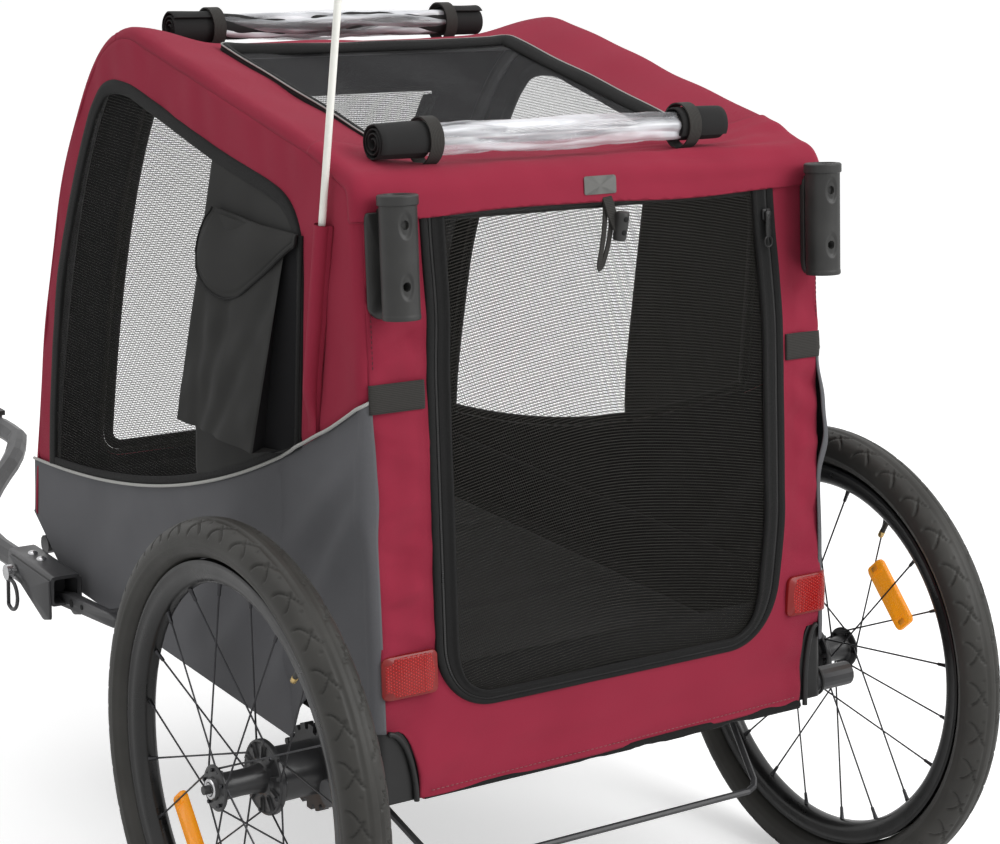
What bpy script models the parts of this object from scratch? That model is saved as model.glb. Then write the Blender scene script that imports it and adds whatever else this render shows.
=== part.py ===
"""Two-wheeled bicycle trailer with a fabric cabin, mesh doors and windows.

Metres, +Z up, +Y towards the bicycle, +X to the trailer's right-hand side.
Every place below is measured from the middle of the axle at ground level;
one empty then moves the whole trailer so that its box stands centred on the origin.
"""
import math

import bmesh
import bpy
import numpy as np
from mathutils import Matrix, Vector

# Fits
GAP = 0.0003              # between pieces that touch
RUN = 0.0003              # running clearance round a shaft
SEAM = 0.0004             # between two fabric panels

# Everything across the trailer is measured from the cabin's side
CABIN_WIDTH = 0.540
CABIN_HALF = CABIN_WIDTH / 2

# Wheels
RIM_RADIUS = 0.2090       # where the tyre sits
TYRE_HEIGHT = 0.0385
TYRE_RADIUS = RIM_RADIUS + TYRE_HEIGHT
TYRE_WIDTH = 0.044
TYRE_RIBS = 14            # flats round the tyre's section
WHEEL_OUT = 0.091         # the wheel's middle plane, out from the cabin's side
WHEEL_X = CABIN_HALF + WHEEL_OUT
RIM_DEPTH = 0.0225
RIM_WIDTH = 0.025
SPOKES = 20
SPOKE_RADIUS = 0.001
AXLE_RADIUS = 0.006
BARREL_RADIUS = 0.0135
FLANGE_RADIUS = 0.022
OUTER_FLANGE = 0.024      # outwards from the wheel's middle plane
INNER_FLANGE = 0.027      # inwards from it
DISC_RADIUS = 0.036
DRUM_RADIUS = 0.026
RING_MIDDLE = 0.081       # toothed brake ring, inwards from the middle plane
RING_THICKNESS = 0.010
RING_TIP = 0.042
RING_ROOT = 0.036
RING_TEETH = 16
AXLE_OUT = 0.031          # outer end of the axle, from the middle plane
AXLE_IN = 0.122
BUTTON_RADIUS = 0.0042
BUTTON_STANDS = 0.006
BUTTON_SUNK = 0.006
BUTTON_TRAVEL = 0.004
SPOKE_REFLECTOR = (0.076, 0.026, 0.006, RIM_RADIUS - 0.081)   # length, width, thickness, from the axle
SPOKE_REFLECTOR_ANGLES = {"left": -37, "right": 134}   # above the level line to the front
SPOKE_LEAN = (68.0, 40.8) # of a spoke's foot from its rim end, on the outer and on the inner flange
SPOKE_FOOT = 0.0045       # of the spoke holes, in from the flange's edge
SPOKE_CROSSING = 0.00125  # to each side of the flange's middle, so that crossing spokes pass each other

# Cabin skin, seen from the side
SKIN = 0.003
REAR_FOOT = (-0.100, 0.240)
REAR_HEAD = (-0.030, 0.806)
HEAD_ROUND = 0.024
ROOF_SLOPE = 0.175
ROOF_FRONT_Y = 0.405
FRONT_PULL_TOP = 0.125    # how far the front curve follows the roof's line
FRONT_PULL = (0.645, 0.690)
FRONT_FOOT = (0.674, 0.310)
REAR_SEAM_Y = 0.004       # rear cover ends here, on the roof
FRONT_SEAM_SHARE = 0.10   # share of the front curve that still belongs to the roof
PANEL_BOTTOM = 0.250
FRONT_NOTCH = (0.577, 0.250)
ARCH_RADIUS = 0.062       # cut-out of the side panel round the axle
REAR_TUBE = (-0.080, 0.258)
NOTCH_HEIGHT = REAR_TUBE[1] + 0.044     # top of the rear lower corner cut-out
NOTCH_DEPTH = 0.046       # of that cut-out along the side
NOTCH_WIDTH = 0.054       # of that cut-out across the rear

PIPING = [(0.666, 0.376), (0.400, 0.4162), (0.150, 0.5002), (-0.090, 0.6298)]   # its cubic passes here
PIPING_STEP = 0.020       # between the points of the piping's line

# Doors and windows
WINDOW_LINE = [(0.617, 0.450), (0.600, 0.574), (0.582, 0.640), (0.550, 0.716), (0.520, 0.776),
               (0.500, 0.806), (0.474, 0.828), (0.427, 0.835), (0.369, 0.825), (0.230, 0.797),
               (0.130, 0.782), (0.092, 0.772), (0.068, 0.752), (0.058, 0.722), (0.056, 0.660)]
WINDOW_ENDS = (0.620, 0.056)   # where its front and rear edge meet the piping
DOOR_HALF = CABIN_HALF - 0.067
DOOR_BOTTOM = 0.313
DOOR_TOP = REAR_HEAD[1] - 0.031
DOOR_ROUND = 0.050
DOOR_ROUND_TOP = 0.012
ZIP_IN = 0.008            # of the zip's middle, in from the door's edge
SLIDER = (0.010, DOOR_TOP - 0.023, DOOR_TOP - 0.035, 0.006, DOOR_TOP - 0.063)
FRONT_DOOR_HALF = CABIN_HALF - 0.080
FRONT_DOOR_BOTTOM = 0.365
FRONT_DOOR_TOP = 0.800
FRONT_DOOR_ROUND = 0.030
ROOF_WINDOW_HALF = CABIN_HALF - 0.092
ROOF_WINDOW_REAR = 0.085
ROOF_WINDOW_FRONT = 0.395
WINDOW_ROUND = 0.012
MESH = 0.002
REAR_CUT = (REAR_FOOT[0] - 0.1, REAR_HEAD[0] + 0.03)   # how deep the openings are cut
FRONT_CUT = (0.3, FRONT_FOOT[0] + 0.1)
ROOF_CUT = (0.5, REAR_HEAD[1] + 0.3)
MESH_IN = 0.0005          # of a pane's face, in from the skin

# Frame
TUBE_RADIUS = 0.011
CROSS_RADIUS = 0.0125
REAR_TUBE_HALF = CABIN_HALF + 0.045
AXLE_HEIGHT = TYRE_RADIUS
BEAM_RADIUS = 0.0125
BEAM_HALF = CABIN_HALF - 0.002
DRUM_HALF = CABIN_HALF - 0.035   # where the axle receivers begin
RECEIVER_RADIUS = 0.028
SIDE_TUBE_X = CABIN_HALF - 0.065
POST_X = CABIN_HALF - 0.018
POST_RADIUS = 0.008
ROOF_BAR_HEIGHT = DOOR_TOP - 0.005
POST_TOP = ROOF_BAR_HEIGHT + 0.015
ROOF_BAR_IN = 0.006       # clear of the rear wall's inner face
FRONT_TUBE_IN = 0.008     # of the front cross tube's ends, from the cabin's side
HOOP_INSET = 0.0125       # hoop centre line, in from the skin
HOOP_REAR_Y = -0.012
FLOOR_HALF = CABIN_HALF - 0.029
FLOOR_END = 0.006         # between the floor and the walls
FLOOR_THICKNESS = 0.004
MAT_THICKNESS = 0.022
MAT_MARGIN = 0.020

# Parking brake
BAR_RADIUS = 0.0035
BAR_PIVOT = (0.0437, 0.2378)
BAR_CORNER = (CABIN_HALF - 0.078, -0.092, 0.157)
BAR_ELBOW = 0.012
BAR_BEND = 0.003
BAR_INNER = CABIN_HALF - 0.032
BAR_OUTER = CABIN_HALF - 0.008
PAWL_CRANK = 0.018
PAWL_ANGLE = 104.8        # of the crank above level, with the brake off
PAWL_TRAVEL = 26.0        # how far the bar turns to set the brake
PAWL_END = CABIN_HALF + 0.014
BRACKET_FROM = CABIN_HALF - 0.029
BRACKET_TO = CABIN_HALF - 0.013
BRACKET_EDGE = 0.010      # material round the pivot

# Handle sockets, reflectors and corner covers
SOCKET_X = CABIN_HALF - 0.024
SOCKET_TOP = (-0.061, 0.797)
SOCKET_BOTTOM = (-0.0743, 0.690)
SOCKET_RADIUS = 0.015
SOCKET_BORE = 0.0115
SOCKET_HOLE = 0.0042
SOCKET_HOLES = (0.28, 0.78)             # shares of the socket's length
COLLAR = (0.007, 0.0015)                # height and how far it stands out
PLATE = (0.020, 0.011, 0.006, 0.0035)   # inner edge, below the top, above the bottom, thickness
WEB = (0.006, 0.015, 0.012, 0.010)      # towards the side, below the top, above the bottom, width
REFLECTOR_SIZE = (0.055, 0.036)
REFLECTOR_DEPTH = 0.009
REFLECTOR_PLACE = (CABIN_HALF - 0.0295, 0.352)
REFLECTOR_EDGE = 0.003    # bevel round its face
COVER_THICKNESS = 0.004

# Pockets, rolled covers and flag
POCKET = (0.062, 0.216, 0.492, 0.738)   # rear, front, bottom, top
POCKET_BULGE = 0.030
POCKET_TOP_BULGE = 0.010
POCKET_RISE = (0.004, 0.030, 0.120)   # heights over its foot where its bulge changes
FLAP_OVER = 0.004         # the flap's overlap past the pocket's sides
FLAP_DROP = 0.078
FLAP_THICKNESS = 0.003
REAR_ROLL = (CABIN_HALF - 0.082, 0.040, 0.0185)    # half length, place along the roof, radius
FRONT_ROLL = (CABIN_HALF - 0.095, 0.487, 0.0130)
POLE_RADIUS = 0.0035
POLE_LENGTH = 0.800
POLE_FOOT = (0.018, 0.552)
POLE_LEAN = 0.100         # backwards for each metre up
SLEEVE_RADIUS = 0.0075
SLEEVE_LENGTH = 0.200
PENNANT = (0.190, 0.230)  # depth and height
PENNANT_THICKNESS = 0.002

# Drawbar
DRAWBAR_RADIUS = 0.0125
DRAWBAR_X = -CABIN_HALF - 0.030
DRAWBAR_Z = 0.262
DRAWBAR_END = (0.144, 0.044)            # its hitch end, inwards and above its rear end
DRAWBAR_ROUTE = [(0.0, 0.545, 0.0), (0.0, 0.640, 0.0), (0.0, 0.720, 0.001), (0.015, 0.790, 0.008),
                 (0.060, 0.860, 0.022), (0.110, 0.920, 0.036), (0.144, 0.985, 0.044),
                 (0.144, 1.010, 0.044), (0.144, 1.040, 0.044)]
SOCKET_REACH = (0.540, 0.640)
SOCKET_WALL = 0.006
PIN_RADIUS = 0.003
PIN_Y = 0.612
PIN_HEAD = (0.009, 0.008)               # radius and thickness
HITCH_PLACE = (DRAWBAR_X + DRAWBAR_END[0], 1.062, DRAWBAR_Z + DRAWBAR_END[1])
HITCH_SIZE = 0.024
BOLT_RADIUS = 0.0040
CHEEK = (0.0125, 0.0185)                # the fork's cheeks, from its middle
FORK_REACH = 0.050
FORK_BOLT = (0.036, 0.0055)             # place and radius of the hole for the coupling's bolt


def skin_profile():
    """Outer line of the cabin from the foot of the rear wall, over the roof, to the front foot."""
    foot, head = Vector(REAR_FOOT), Vector(REAR_HEAD)
    roof = Vector((1.0, ROOF_SLOPE)).normalized()
    wall = (head - foot).normalized()
    turn = wall.angle(roof)
    reach = HEAD_ROUND * math.tan(turn / 2)
    start, end = head - wall * reach, head + roof * reach
    centre = start + Vector((wall.y, -wall.x)) * HEAD_ROUND
    corner = []
    for i in range(7):
        angle = turn * i / 6
        spoke = start - centre
        corner.append(centre + Vector((spoke.x * math.cos(angle) + spoke.y * math.sin(angle),
                                       spoke.y * math.cos(angle) - spoke.x * math.sin(angle))))
    seam = Vector((REAR_SEAM_Y, roof_height(REAR_SEAM_Y)))
    rear = [foot, *corner, seam]
    a = Vector((ROOF_FRONT_Y, roof_height(ROOF_FRONT_Y)))
    b = a + Vector((FRONT_PULL_TOP, FRONT_PULL_TOP * ROOF_SLOPE))
    c, d = Vector(FRONT_PULL), Vector(FRONT_FOOT)
    front = []
    for i in range(21):
        t = i / 20
        front.append(a * (1 - t) ** 3 + b * 3 * t * (1 - t) ** 2 + c * 3 * t * t * (1 - t) + d * t ** 3)
    return rear, front


def roof_height(y):
    """Height of the roof's line above the ground at one place along the trailer."""
    return REAR_HEAD[1] + (y - REAR_HEAD[0]) * ROOF_SLOPE


def rear_y(z):
    """Place of the rear wall's outer face at one height."""
    share = (z - REAR_FOOT[1]) / (REAR_HEAD[1] - REAR_FOOT[1])
    return REAR_FOOT[0] + share * (REAR_HEAD[0] - REAR_FOOT[0])


def inward(line, distance):
    """The same open line moved to its right-hand side, which is into the cabin."""
    moved = []
    for i, point in enumerate(line):
        before = (point - line[i - 1]).normalized() if i else None
        after = (line[i + 1] - point).normalized() if i + 1 < len(line) else None
        first = Vector((before.y, -before.x)) if before else None
        second = Vector((after.y, -after.x)) if after else None
        if first is None or second is None:
            moved.append(point + (first or second) * distance)
            continue
        middle = (first + second).normalized()
        moved.append(point + middle * (distance / middle.dot(first)))
    return moved


def band(line, outer=0.0, inner=SKIN, start=0, end=None):
    """Closed outline between two lines inside the given one, from its point start to its point end.

    Where the band stops short of the line's own ends it leaves half a seam free.
    """
    end = len(line) - 1 if end is None else end
    sides = []
    for distance in (outer, inner):
        side = inward(line, distance)
        part = side[start:end + 1]
        if start > 0:
            part[0] = part[0] + (part[1] - part[0]).normalized() * (SEAM / 2)
        if end < len(line) - 1:
            part[-1] = part[-1] + (part[-2] - part[-1]).normalized() * (SEAM / 2)
        sides.append(part)
    return sides[0] + sides[1][::-1]


def crossing(line, z):
    """Place where a falling line passes one height."""
    for a, b in zip(line, line[1:]):
        if min(a.y, b.y) <= z <= max(a.y, b.y):
            return a.x + (b.x - a.x) * (z - a.y) / (b.y - a.y)
    return line[-1].x


def rounded(low, high, radii, steps=6):
    """Rectangle with rounded corners: radii at low-low, high-low, high-high, low-high."""
    corners = [(low[0], low[1]), (high[0], low[1]), (high[0], high[1]), (low[0], high[1])]
    inside = [(1, 1), (-1, 1), (-1, -1), (1, -1)]
    outline = []
    for i, ((x, y), (sx, sy), r) in enumerate(zip(corners, inside, radii)):
        start = math.pi * (1 + i / 2)
        for k in range(steps + 1):
            a = start + math.pi / 2 * k / steps
            outline.append(Vector((x + sx * r + r * math.cos(a), y + sy * r + r * math.sin(a))))
    return outline


def material(name, colour, roughness=0.6, metallic=0.0):
    """Principled material in one plain colour."""
    made = bpy.data.materials.new(name)
    made.use_nodes = True
    shader = made.node_tree.nodes["Principled BSDF"]
    shader.inputs["Base Color"].default_value = (*colour, 1.0)
    shader.inputs["Roughness"].default_value = roughness
    shader.inputs["Metallic"].default_value = metallic
    made.diffuse_color = (*colour, 1.0)
    return made


def place(name, mesh, finish, smooth=False):
    """Object for one mesh, standing on the trailer's empty."""
    thing = bpy.data.objects.new(name, mesh)
    bpy.context.scene.collection.objects.link(thing)
    thing.parent = trailer
    if finish is None:
        thing.hide_render = True
        thing.display_type = "WIRE"
    else:
        mesh.materials.append(finish)
    if smooth:
        mesh.shade_smooth()
        mesh.set_sharp_from_angle(angle=math.radians(35))
    return thing


def mesh_from(work, name):
    """Mesh of a bmesh whose faces are turned outwards first."""
    bmesh.ops.recalc_face_normals(work, faces=work.faces)
    mesh = bpy.data.meshes.new(name)
    work.to_mesh(mesh)
    work.free()
    return mesh


def prism_mesh(outline, axis, low, high):
    """Outline extruded along X, Y or Z. It is (y, z) for X, (x, z) for Y and (x, y) for Z."""
    order = {"X": (2, 0, 1), "Y": (0, 2, 1), "Z": (0, 1, 2)}[axis]

    def corner(point, depth):
        parts = (point[0], point[1], depth)
        return Vector([parts[i] for i in order])
    work = bmesh.new()
    bottom = [work.verts.new(corner(p, low)) for p in outline]
    top = [work.verts.new(corner(p, high)) for p in outline]
    work.faces.new(bottom)
    work.faces.new(top)
    for i in range(len(outline)):
        k = (i + 1) % len(outline)
        work.faces.new((bottom[i], bottom[k], top[k], top[i]))
    return mesh_from(work, "prism")


def prism(name, outline, axis, low, high, finish):
    return place(name, prism_mesh(outline, axis, low, high), finish)


def block(name, low, high, finish):
    outline = [(low[0], low[1]), (high[0], low[1]), (high[0], high[1]), (low[0], high[1])]
    return prism(name, outline, "Z", low[2], high[2], finish)


def turned_mesh(profile, segments, side=1.0):
    """Closed profile of (distance along X, radius) turned round the X axis."""
    work = bmesh.new()
    rings = []
    for i in range(segments):
        angle = 2 * math.pi * i / segments - math.pi / 2
        rings.append([work.verts.new((u * side, r * math.cos(angle), r * math.sin(angle)))
                      for u, r in profile])
    count = len(profile)
    for i in range(segments):
        here, there = rings[i], rings[(i + 1) % segments]
        for k in range(count):
            m = (k + 1) % count
            work.faces.new((here[k], here[m], there[m], there[k]))
    return mesh_from(work, "turned")


def rod_mesh(start, end, radius, sides=12, end_radius=None):
    """Straight round bar between two points."""
    start, end = Vector(start), Vector(end)
    work = bmesh.new()
    bmesh.ops.create_cone(work, cap_ends=True, segments=sides, radius1=radius,
                          radius2=end_radius or radius, depth=(end - start).length)
    turn = Vector((0, 0, 1)).rotation_difference(end - start).to_matrix().to_4x4()
    bmesh.ops.transform(work, matrix=Matrix.Translation((start + end) / 2) @ turn, verts=work.verts)
    return mesh_from(work, "rod")


def rod(name, start, end, radius, finish, sides=12):
    return place(name, rod_mesh(start, end, radius, sides), finish, smooth=finish is not None)


def pipe_mesh(points, radius, sides=10):
    """Round bar along a line of points, mitred where the line turns."""
    points = [Vector(p) for p in points]
    work = bmesh.new()
    heading = (points[1] - points[0]).normalized()
    across = heading.cross(Vector((0.3, 0.2, 1.0))).normalized()
    rings = []
    for i, point in enumerate(points):
        ahead = (points[min(i + 1, len(points) - 1)] - points[min(i, len(points) - 2)]).normalized()
        turn = heading.rotation_difference(ahead)
        across = turn @ across
        middle = (heading + ahead).normalized()
        up = ahead.cross(across)
        ring = []
        for k in range(sides):
            a = 2 * math.pi * k / sides
            offset = (across * math.cos(a) + up * math.sin(a)) * radius
            offset -= ahead * (offset.dot(middle) / ahead.dot(middle))
            ring.append(work.verts.new(point + offset))
        rings.append(ring)
        heading = ahead
    for here, there in zip(rings, rings[1:]):
        for k in range(sides):
            m = (k + 1) % sides
            work.faces.new((here[k], here[m], there[m], there[k]))
    work.faces.new(rings[0][::-1])
    work.faces.new(rings[-1])
    return mesh_from(work, "pipe")


def pipe(name, points, radius, finish, sides=10):
    return place(name, pipe_mesh(points, radius, sides), finish, smooth=True)


def smooth_route(points, step):
    """Points at even steps on a Catmull-Rom curve through the given ones."""
    p = np.array(points, float)
    p = np.vstack([2 * p[0] - p[1], p, 2 * p[-1] - p[-2]])
    fine = []
    for i in range(1, len(p) - 2):
        for t in np.linspace(0, 1, 16, endpoint=False):
            a, b, c, d = p[i - 1], p[i], p[i + 1], p[i + 2]
            fine.append(0.5 * (2 * b + (c - a) * t + (2 * a - 5 * b + 4 * c - d) * t * t
                               + (3 * b - a - 3 * c + d) * t ** 3))
    fine.append(p[-2])
    fine = np.array(fine)
    length = np.r_[0, np.cumsum(np.linalg.norm(np.diff(fine, axis=0), axis=1))]
    count = max(2, round(length[-1] / step) + 1)
    at = np.linspace(0, length[-1], count)
    return np.stack([np.interp(at, length, fine[:, k]) for k in range(3)], 1)


def combine(thing, other, operation="DIFFERENCE", own=False):
    """Boolean modifier with the exact solver; the other object is only a helper."""
    change = thing.modifiers.new(operation.title(), "BOOLEAN")
    change.operation = operation
    change.solver = "EXACT"
    change.use_self = own
    change.object = other
    return thing


def cut(thing, mesh):
    return combine(thing, place(thing.name + "_cutter", mesh, None))


def add(thing, mesh):
    return combine(thing, place(thing.name + "_added", mesh, None), "UNION")


def both_sides():
    return (("left", -1.0), ("right", 1.0))


def make_tyre(side, x, finish):
    half = TYRE_WIDTH / 2
    seat = RIM_RADIUS + GAP
    height = (TYRE_RADIUS - seat) / 2
    profile = []
    for i in range(TYRE_RIBS):
        a = 2 * math.pi * (i + 0.5) / TYRE_RIBS
        rise = max(-1.0, min(1.0, math.sin(a) / math.sin(math.pi / 2 - math.pi / TYRE_RIBS)))
        wide = half * math.copysign(abs(math.cos(a)) ** 0.9, math.cos(a))
        profile.append((wide, seat + height * (1 + rise)))
    tyre = place(side + "_tyre", turned_mesh(profile, 64), finish, smooth=True)
    tyre.location = (x, 0, AXLE_HEIGHT)


def make_rim(side, x, finish):
    half = RIM_WIDTH / 2
    inner = RIM_RADIUS - RIM_DEPTH
    profile = [(-half, RIM_RADIUS), (-half, RIM_RADIUS - 0.011), (-half * 0.66, inner + 0.004),
               (-half * 0.30, inner), (half * 0.30, inner), (half * 0.66, inner + 0.004),
               (half, RIM_RADIUS - 0.011), (half, RIM_RADIUS)]
    rim = place(side + "_rim", turned_mesh(profile, 60), finish, smooth=True)
    rim.location = (x, 0, AXLE_HEIGHT)


def make_hub(side, x, out, finish):
    """Hub shell with a plain outer flange, a brake disc inside, a drum, a toothed ring and spokes."""
    bore = AXLE_RADIUS + RUN
    drum_end = RING_MIDDLE + RING_THICKNESS / 2
    profile = [(OUTER_FLANGE + 0.006, bore), (OUTER_FLANGE + 0.006, BARREL_RADIUS - 0.003),
               (OUTER_FLANGE + 0.0015, BARREL_RADIUS), (OUTER_FLANGE + 0.0015, FLANGE_RADIUS),
               (OUTER_FLANGE - 0.0015, FLANGE_RADIUS), (OUTER_FLANGE - 0.0015, BARREL_RADIUS),
               (-INNER_FLANGE + 0.003, BARREL_RADIUS), (-INNER_FLANGE + 0.003, DISC_RADIUS),
               (-INNER_FLANGE - 0.004, DISC_RADIUS), (-INNER_FLANGE - 0.004, DRUM_RADIUS),
               (-drum_end, DRUM_RADIUS), (-drum_end, bore)]
    hub = place(side + "_hub", turned_mesh(profile, 32, out), finish, smooth=True)
    hub.location = (x, 0, AXLE_HEIGHT)
    set_angle = math.radians(PAWL_ANGLE - PAWL_TRAVEL)
    gap_at = math.atan2(BAR_PIVOT[1] - AXLE_HEIGHT + PAWL_CRANK * math.sin(set_angle),
                        BAR_PIVOT[0] - PAWL_CRANK * math.cos(set_angle))
    reach = drum_end + RING_THICKNESS
    teeth = []
    for i in range(RING_TEETH):
        for share, radius in ((-0.42, RING_ROOT), (-0.20, RING_TIP), (0.20, RING_TIP), (0.42, RING_ROOT)):
            a = 2 * math.pi * (i + 0.5 + share) / RING_TEETH + gap_at
            teeth.append((radius * math.cos(a), radius * math.sin(a)))
    low = -RING_MIDDLE - RING_THICKNESS / 2 + 0.001
    ends = sorted((low * out, (low + RING_THICKNESS) * out))
    ring = prism_mesh(teeth, "X", *ends)
    hole = rod_mesh((-reach, 0, 0), (reach, 0, 0), DRUM_RADIUS - 0.003, 32)
    ring_part = place(side + "_hub_ring", ring, None)
    ring_part.location = hub.location
    bore_part = place(side + "_hub_bore", hole, None)
    bore_part.location = hub.location
    combine(ring_part, bore_part)
    combine(hub, ring_part, "UNION")
    wires = place(side + "_hub_spokes", spoke_mesh(out), None)
    wires.location = hub.location
    combine(hub, wires, "UNION")


def spoke_mesh(out):
    """Straight spokes from inside each flange to the rim. Crossing ones pass beside each other."""
    work = bmesh.new()
    reach = RIM_RADIUS - RIM_DEPTH - GAP - 0.0002
    for i in range(SPOKES):
        outer, way = i % 2 == 0, (1 if (i // 2) % 2 else -1)
        flange = OUTER_FLANGE if outer else -INNER_FLANGE
        edge = FLANGE_RADIUS if outer else DISC_RADIUS
        at_rim = 2 * math.pi * (i + 0.25) / SPOKES
        at_hub = at_rim + math.radians(SPOKE_LEAN[0 if outer else 1]) * way
        beside = SPOKE_CROSSING * way
        foot = Vector(((flange + beside) * out, (edge - SPOKE_FOOT) * math.cos(at_hub),
                       (edge - SPOKE_FOOT) * math.sin(at_hub)))
        end = Vector((beside * out, reach * math.cos(at_rim), reach * math.sin(at_rim)))
        spoke = rod_mesh(foot, end, SPOKE_RADIUS, 6)
        work.from_mesh(spoke)
        bpy.data.meshes.remove(spoke)
    return mesh_from(work, "spokes")


def make_axle(side, x, out, finish, button_finish):
    end, start = x + AXLE_OUT * out, x - AXLE_IN * out
    axle = rod(side + "_axle", (start, 0, AXLE_HEIGHT), (end, 0, AXLE_HEIGHT), AXLE_RADIUS, finish, 16)
    cut(axle, rod_mesh((end - (BUTTON_SUNK + BUTTON_TRAVEL + 0.002) * out, 0, AXLE_HEIGHT),
                       (end + 0.01 * out, 0, AXLE_HEIGHT), BUTTON_RADIUS + RUN, 16))
    rod(side + "_axle_button", (end - BUTTON_SUNK * out, 0, AXLE_HEIGHT),
        (end + BUTTON_STANDS * out, 0, AXLE_HEIGHT), BUTTON_RADIUS, button_finish, 16)


def make_spoke_reflector(side, x, angle, finish):
    """Orange bar between the spokes, in the wheel's middle plane."""
    long, wide, thick, radius = SPOKE_REFLECTOR
    outline = rounded((-wide / 2, -long / 2), (wide / 2, long / 2), [thick] * 4, 3)
    mesh = prism_mesh(outline, "X", -thick / 2, thick / 2)
    plate = place(side + "_spoke_reflector", mesh, finish)
    tilt = math.radians(angle)
    plate.location = (x, radius * math.cos(tilt), AXLE_HEIGHT + radius * math.sin(tilt))
    plate.rotation_euler = (tilt, 0, 0)


def make_wheels():
    tyre = material("tyre", (0.055, 0.055, 0.052), 0.75)
    rim = material("rim", (0.02, 0.02, 0.021), 0.35, 0.6)
    hub = material("hub", (0.025, 0.025, 0.026), 0.45, 0.3)
    steel = material("steel", (0.45, 0.45, 0.46), 0.3, 1.0)
    button = material("button", (0.05, 0.05, 0.05), 0.5)
    orange = material("orange_lens", (0.9, 0.35, 0.02), 0.25)
    for side, out in both_sides():
        x = out * WHEEL_X
        make_tyre(side, x, tyre)
        make_rim(side, x, rim)
        make_hub(side, x, out, hub)
        make_axle(side, x, out, steel, button)
        make_spoke_reflector(side, x, SPOKE_REFLECTOR_ANGLES[side], orange)


def make_frame():
    black = material("frame_black", (0.03, 0.03, 0.032), 0.4, 0.5)
    rear_y_in, rear_z = REAR_TUBE
    rod("rear_cross_tube", (-REAR_TUBE_HALF, rear_y_in, rear_z), (REAR_TUBE_HALF, rear_y_in, rear_z),
        CROSS_RADIUS, black, 16)
    beam = rod("axle_beam", (-BEAM_HALF, 0, AXLE_HEIGHT), (BEAM_HALF, 0, AXLE_HEIGHT),
               BEAM_RADIUS, black, 16)
    side_z = AXLE_HEIGHT + BEAM_RADIUS + TUBE_RADIUS + GAP
    front_y = FRONT_FOOT[0] - HOOP_INSET - 0.002
    for side, out in both_sides():
        add(beam, rod_mesh((DRUM_HALF * out, 0, AXLE_HEIGHT), ((BEAM_HALF + 0.001) * out, 0, AXLE_HEIGHT),
                           RECEIVER_RADIUS, 24))
        x0, x1 = sorted((BRACKET_FROM * out, BRACKET_TO * out))
        pivot_y, pivot_z = BAR_PIVOT
        outline = [(0.0, AXLE_HEIGHT - BRACKET_EDGE), (pivot_y, pivot_z - BRACKET_EDGE),
                   (pivot_y + BRACKET_EDGE, pivot_z), (pivot_y, pivot_z + BRACKET_EDGE),
                   (0.0, AXLE_HEIGHT + BRACKET_EDGE)]
        add(beam, prism_mesh(outline, "X", x0, x1))
        cut(beam, rod_mesh(((BRACKET_FROM - 0.01) * out, *BAR_PIVOT),
                           ((BRACKET_TO + 0.004) * out, *BAR_PIVOT), BAR_RADIUS + RUN, 16))
        cut(beam, rod_mesh((out * (WHEEL_X - AXLE_IN - 0.002), 0, AXLE_HEIGHT),
                           (out * (BEAM_HALF + 0.01), 0, AXLE_HEIGHT), AXLE_RADIUS + RUN, 16))
        rod(side + "_side_tube", (SIDE_TUBE_X * out, rear_y_in + CROSS_RADIUS + GAP, side_z),
            (SIDE_TUBE_X * out, front_y - TUBE_RADIUS - GAP, side_z), TUBE_RADIUS, black)
        foot_z = rear_z + CROSS_RADIUS + GAP
        lean = (POST_TOP - foot_z) * (REAR_HEAD[0] - REAR_FOOT[0]) / (REAR_HEAD[1] - REAR_FOOT[1])
        rod(side + "_rear_post", (POST_X * out, rear_y_in, foot_z),
            (POST_X * out, rear_y_in + lean, POST_TOP), POST_RADIUS, black)
        rear, front = skin_profile()
        line = inward([Vector((HOOP_REAR_Y, roof_height(HOOP_REAR_Y)))] + front, HOOP_INSET)
        foot = Vector((front_y, side_z + TUBE_RADIUS + GAP))
        route = [(POST_X * out, p.x, p.y) for p in line[:-1] + [foot]]
        pipe(side + "_hoop", route, POST_RADIUS, black)
    half = CABIN_HALF - FRONT_TUBE_IN
    rod("front_cross_tube", (-half, front_y, side_z), (half, front_y, side_z), TUBE_RADIUS, black)
    half = POST_X - POST_RADIUS - GAP
    bar_y = rear_y(ROOF_BAR_HEIGHT) + SKIN + POST_RADIUS + ROOF_BAR_IN
    rod("rear_roof_bar", (-half, bar_y, ROOF_BAR_HEIGHT), (half, bar_y, ROOF_BAR_HEIGHT),
        POST_RADIUS, black)
    line = inward(front, HOOP_INSET)
    place_at = line[4]
    rod("front_roof_bar", (-half, place_at.x, place_at.y), (half, place_at.x, place_at.y),
        POST_RADIUS, black)
    floor_z = side_z + TUBE_RADIUS + GAP
    grey = material("floor_board", (0.05, 0.05, 0.055), 0.8)
    rear_end, front_end = rear_y(floor_z) + SKIN + FLOOR_END, front_y - TUBE_RADIUS - FLOOR_END
    block("floor_panel", (-FLOOR_HALF, rear_end, floor_z),
          (FLOOR_HALF, front_end, floor_z + FLOOR_THICKNESS), grey)
    mat = material("floor_mat", (0.10, 0.10, 0.105), 0.9)
    low = floor_z + FLOOR_THICKNESS + GAP
    block("floor_mat", (-FLOOR_HALF + MAT_MARGIN, rear_end + MAT_MARGIN, low),
          (FLOOR_HALF - MAT_MARGIN, front_end - MAT_MARGIN, low + MAT_THICKNESS), mat)


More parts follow.
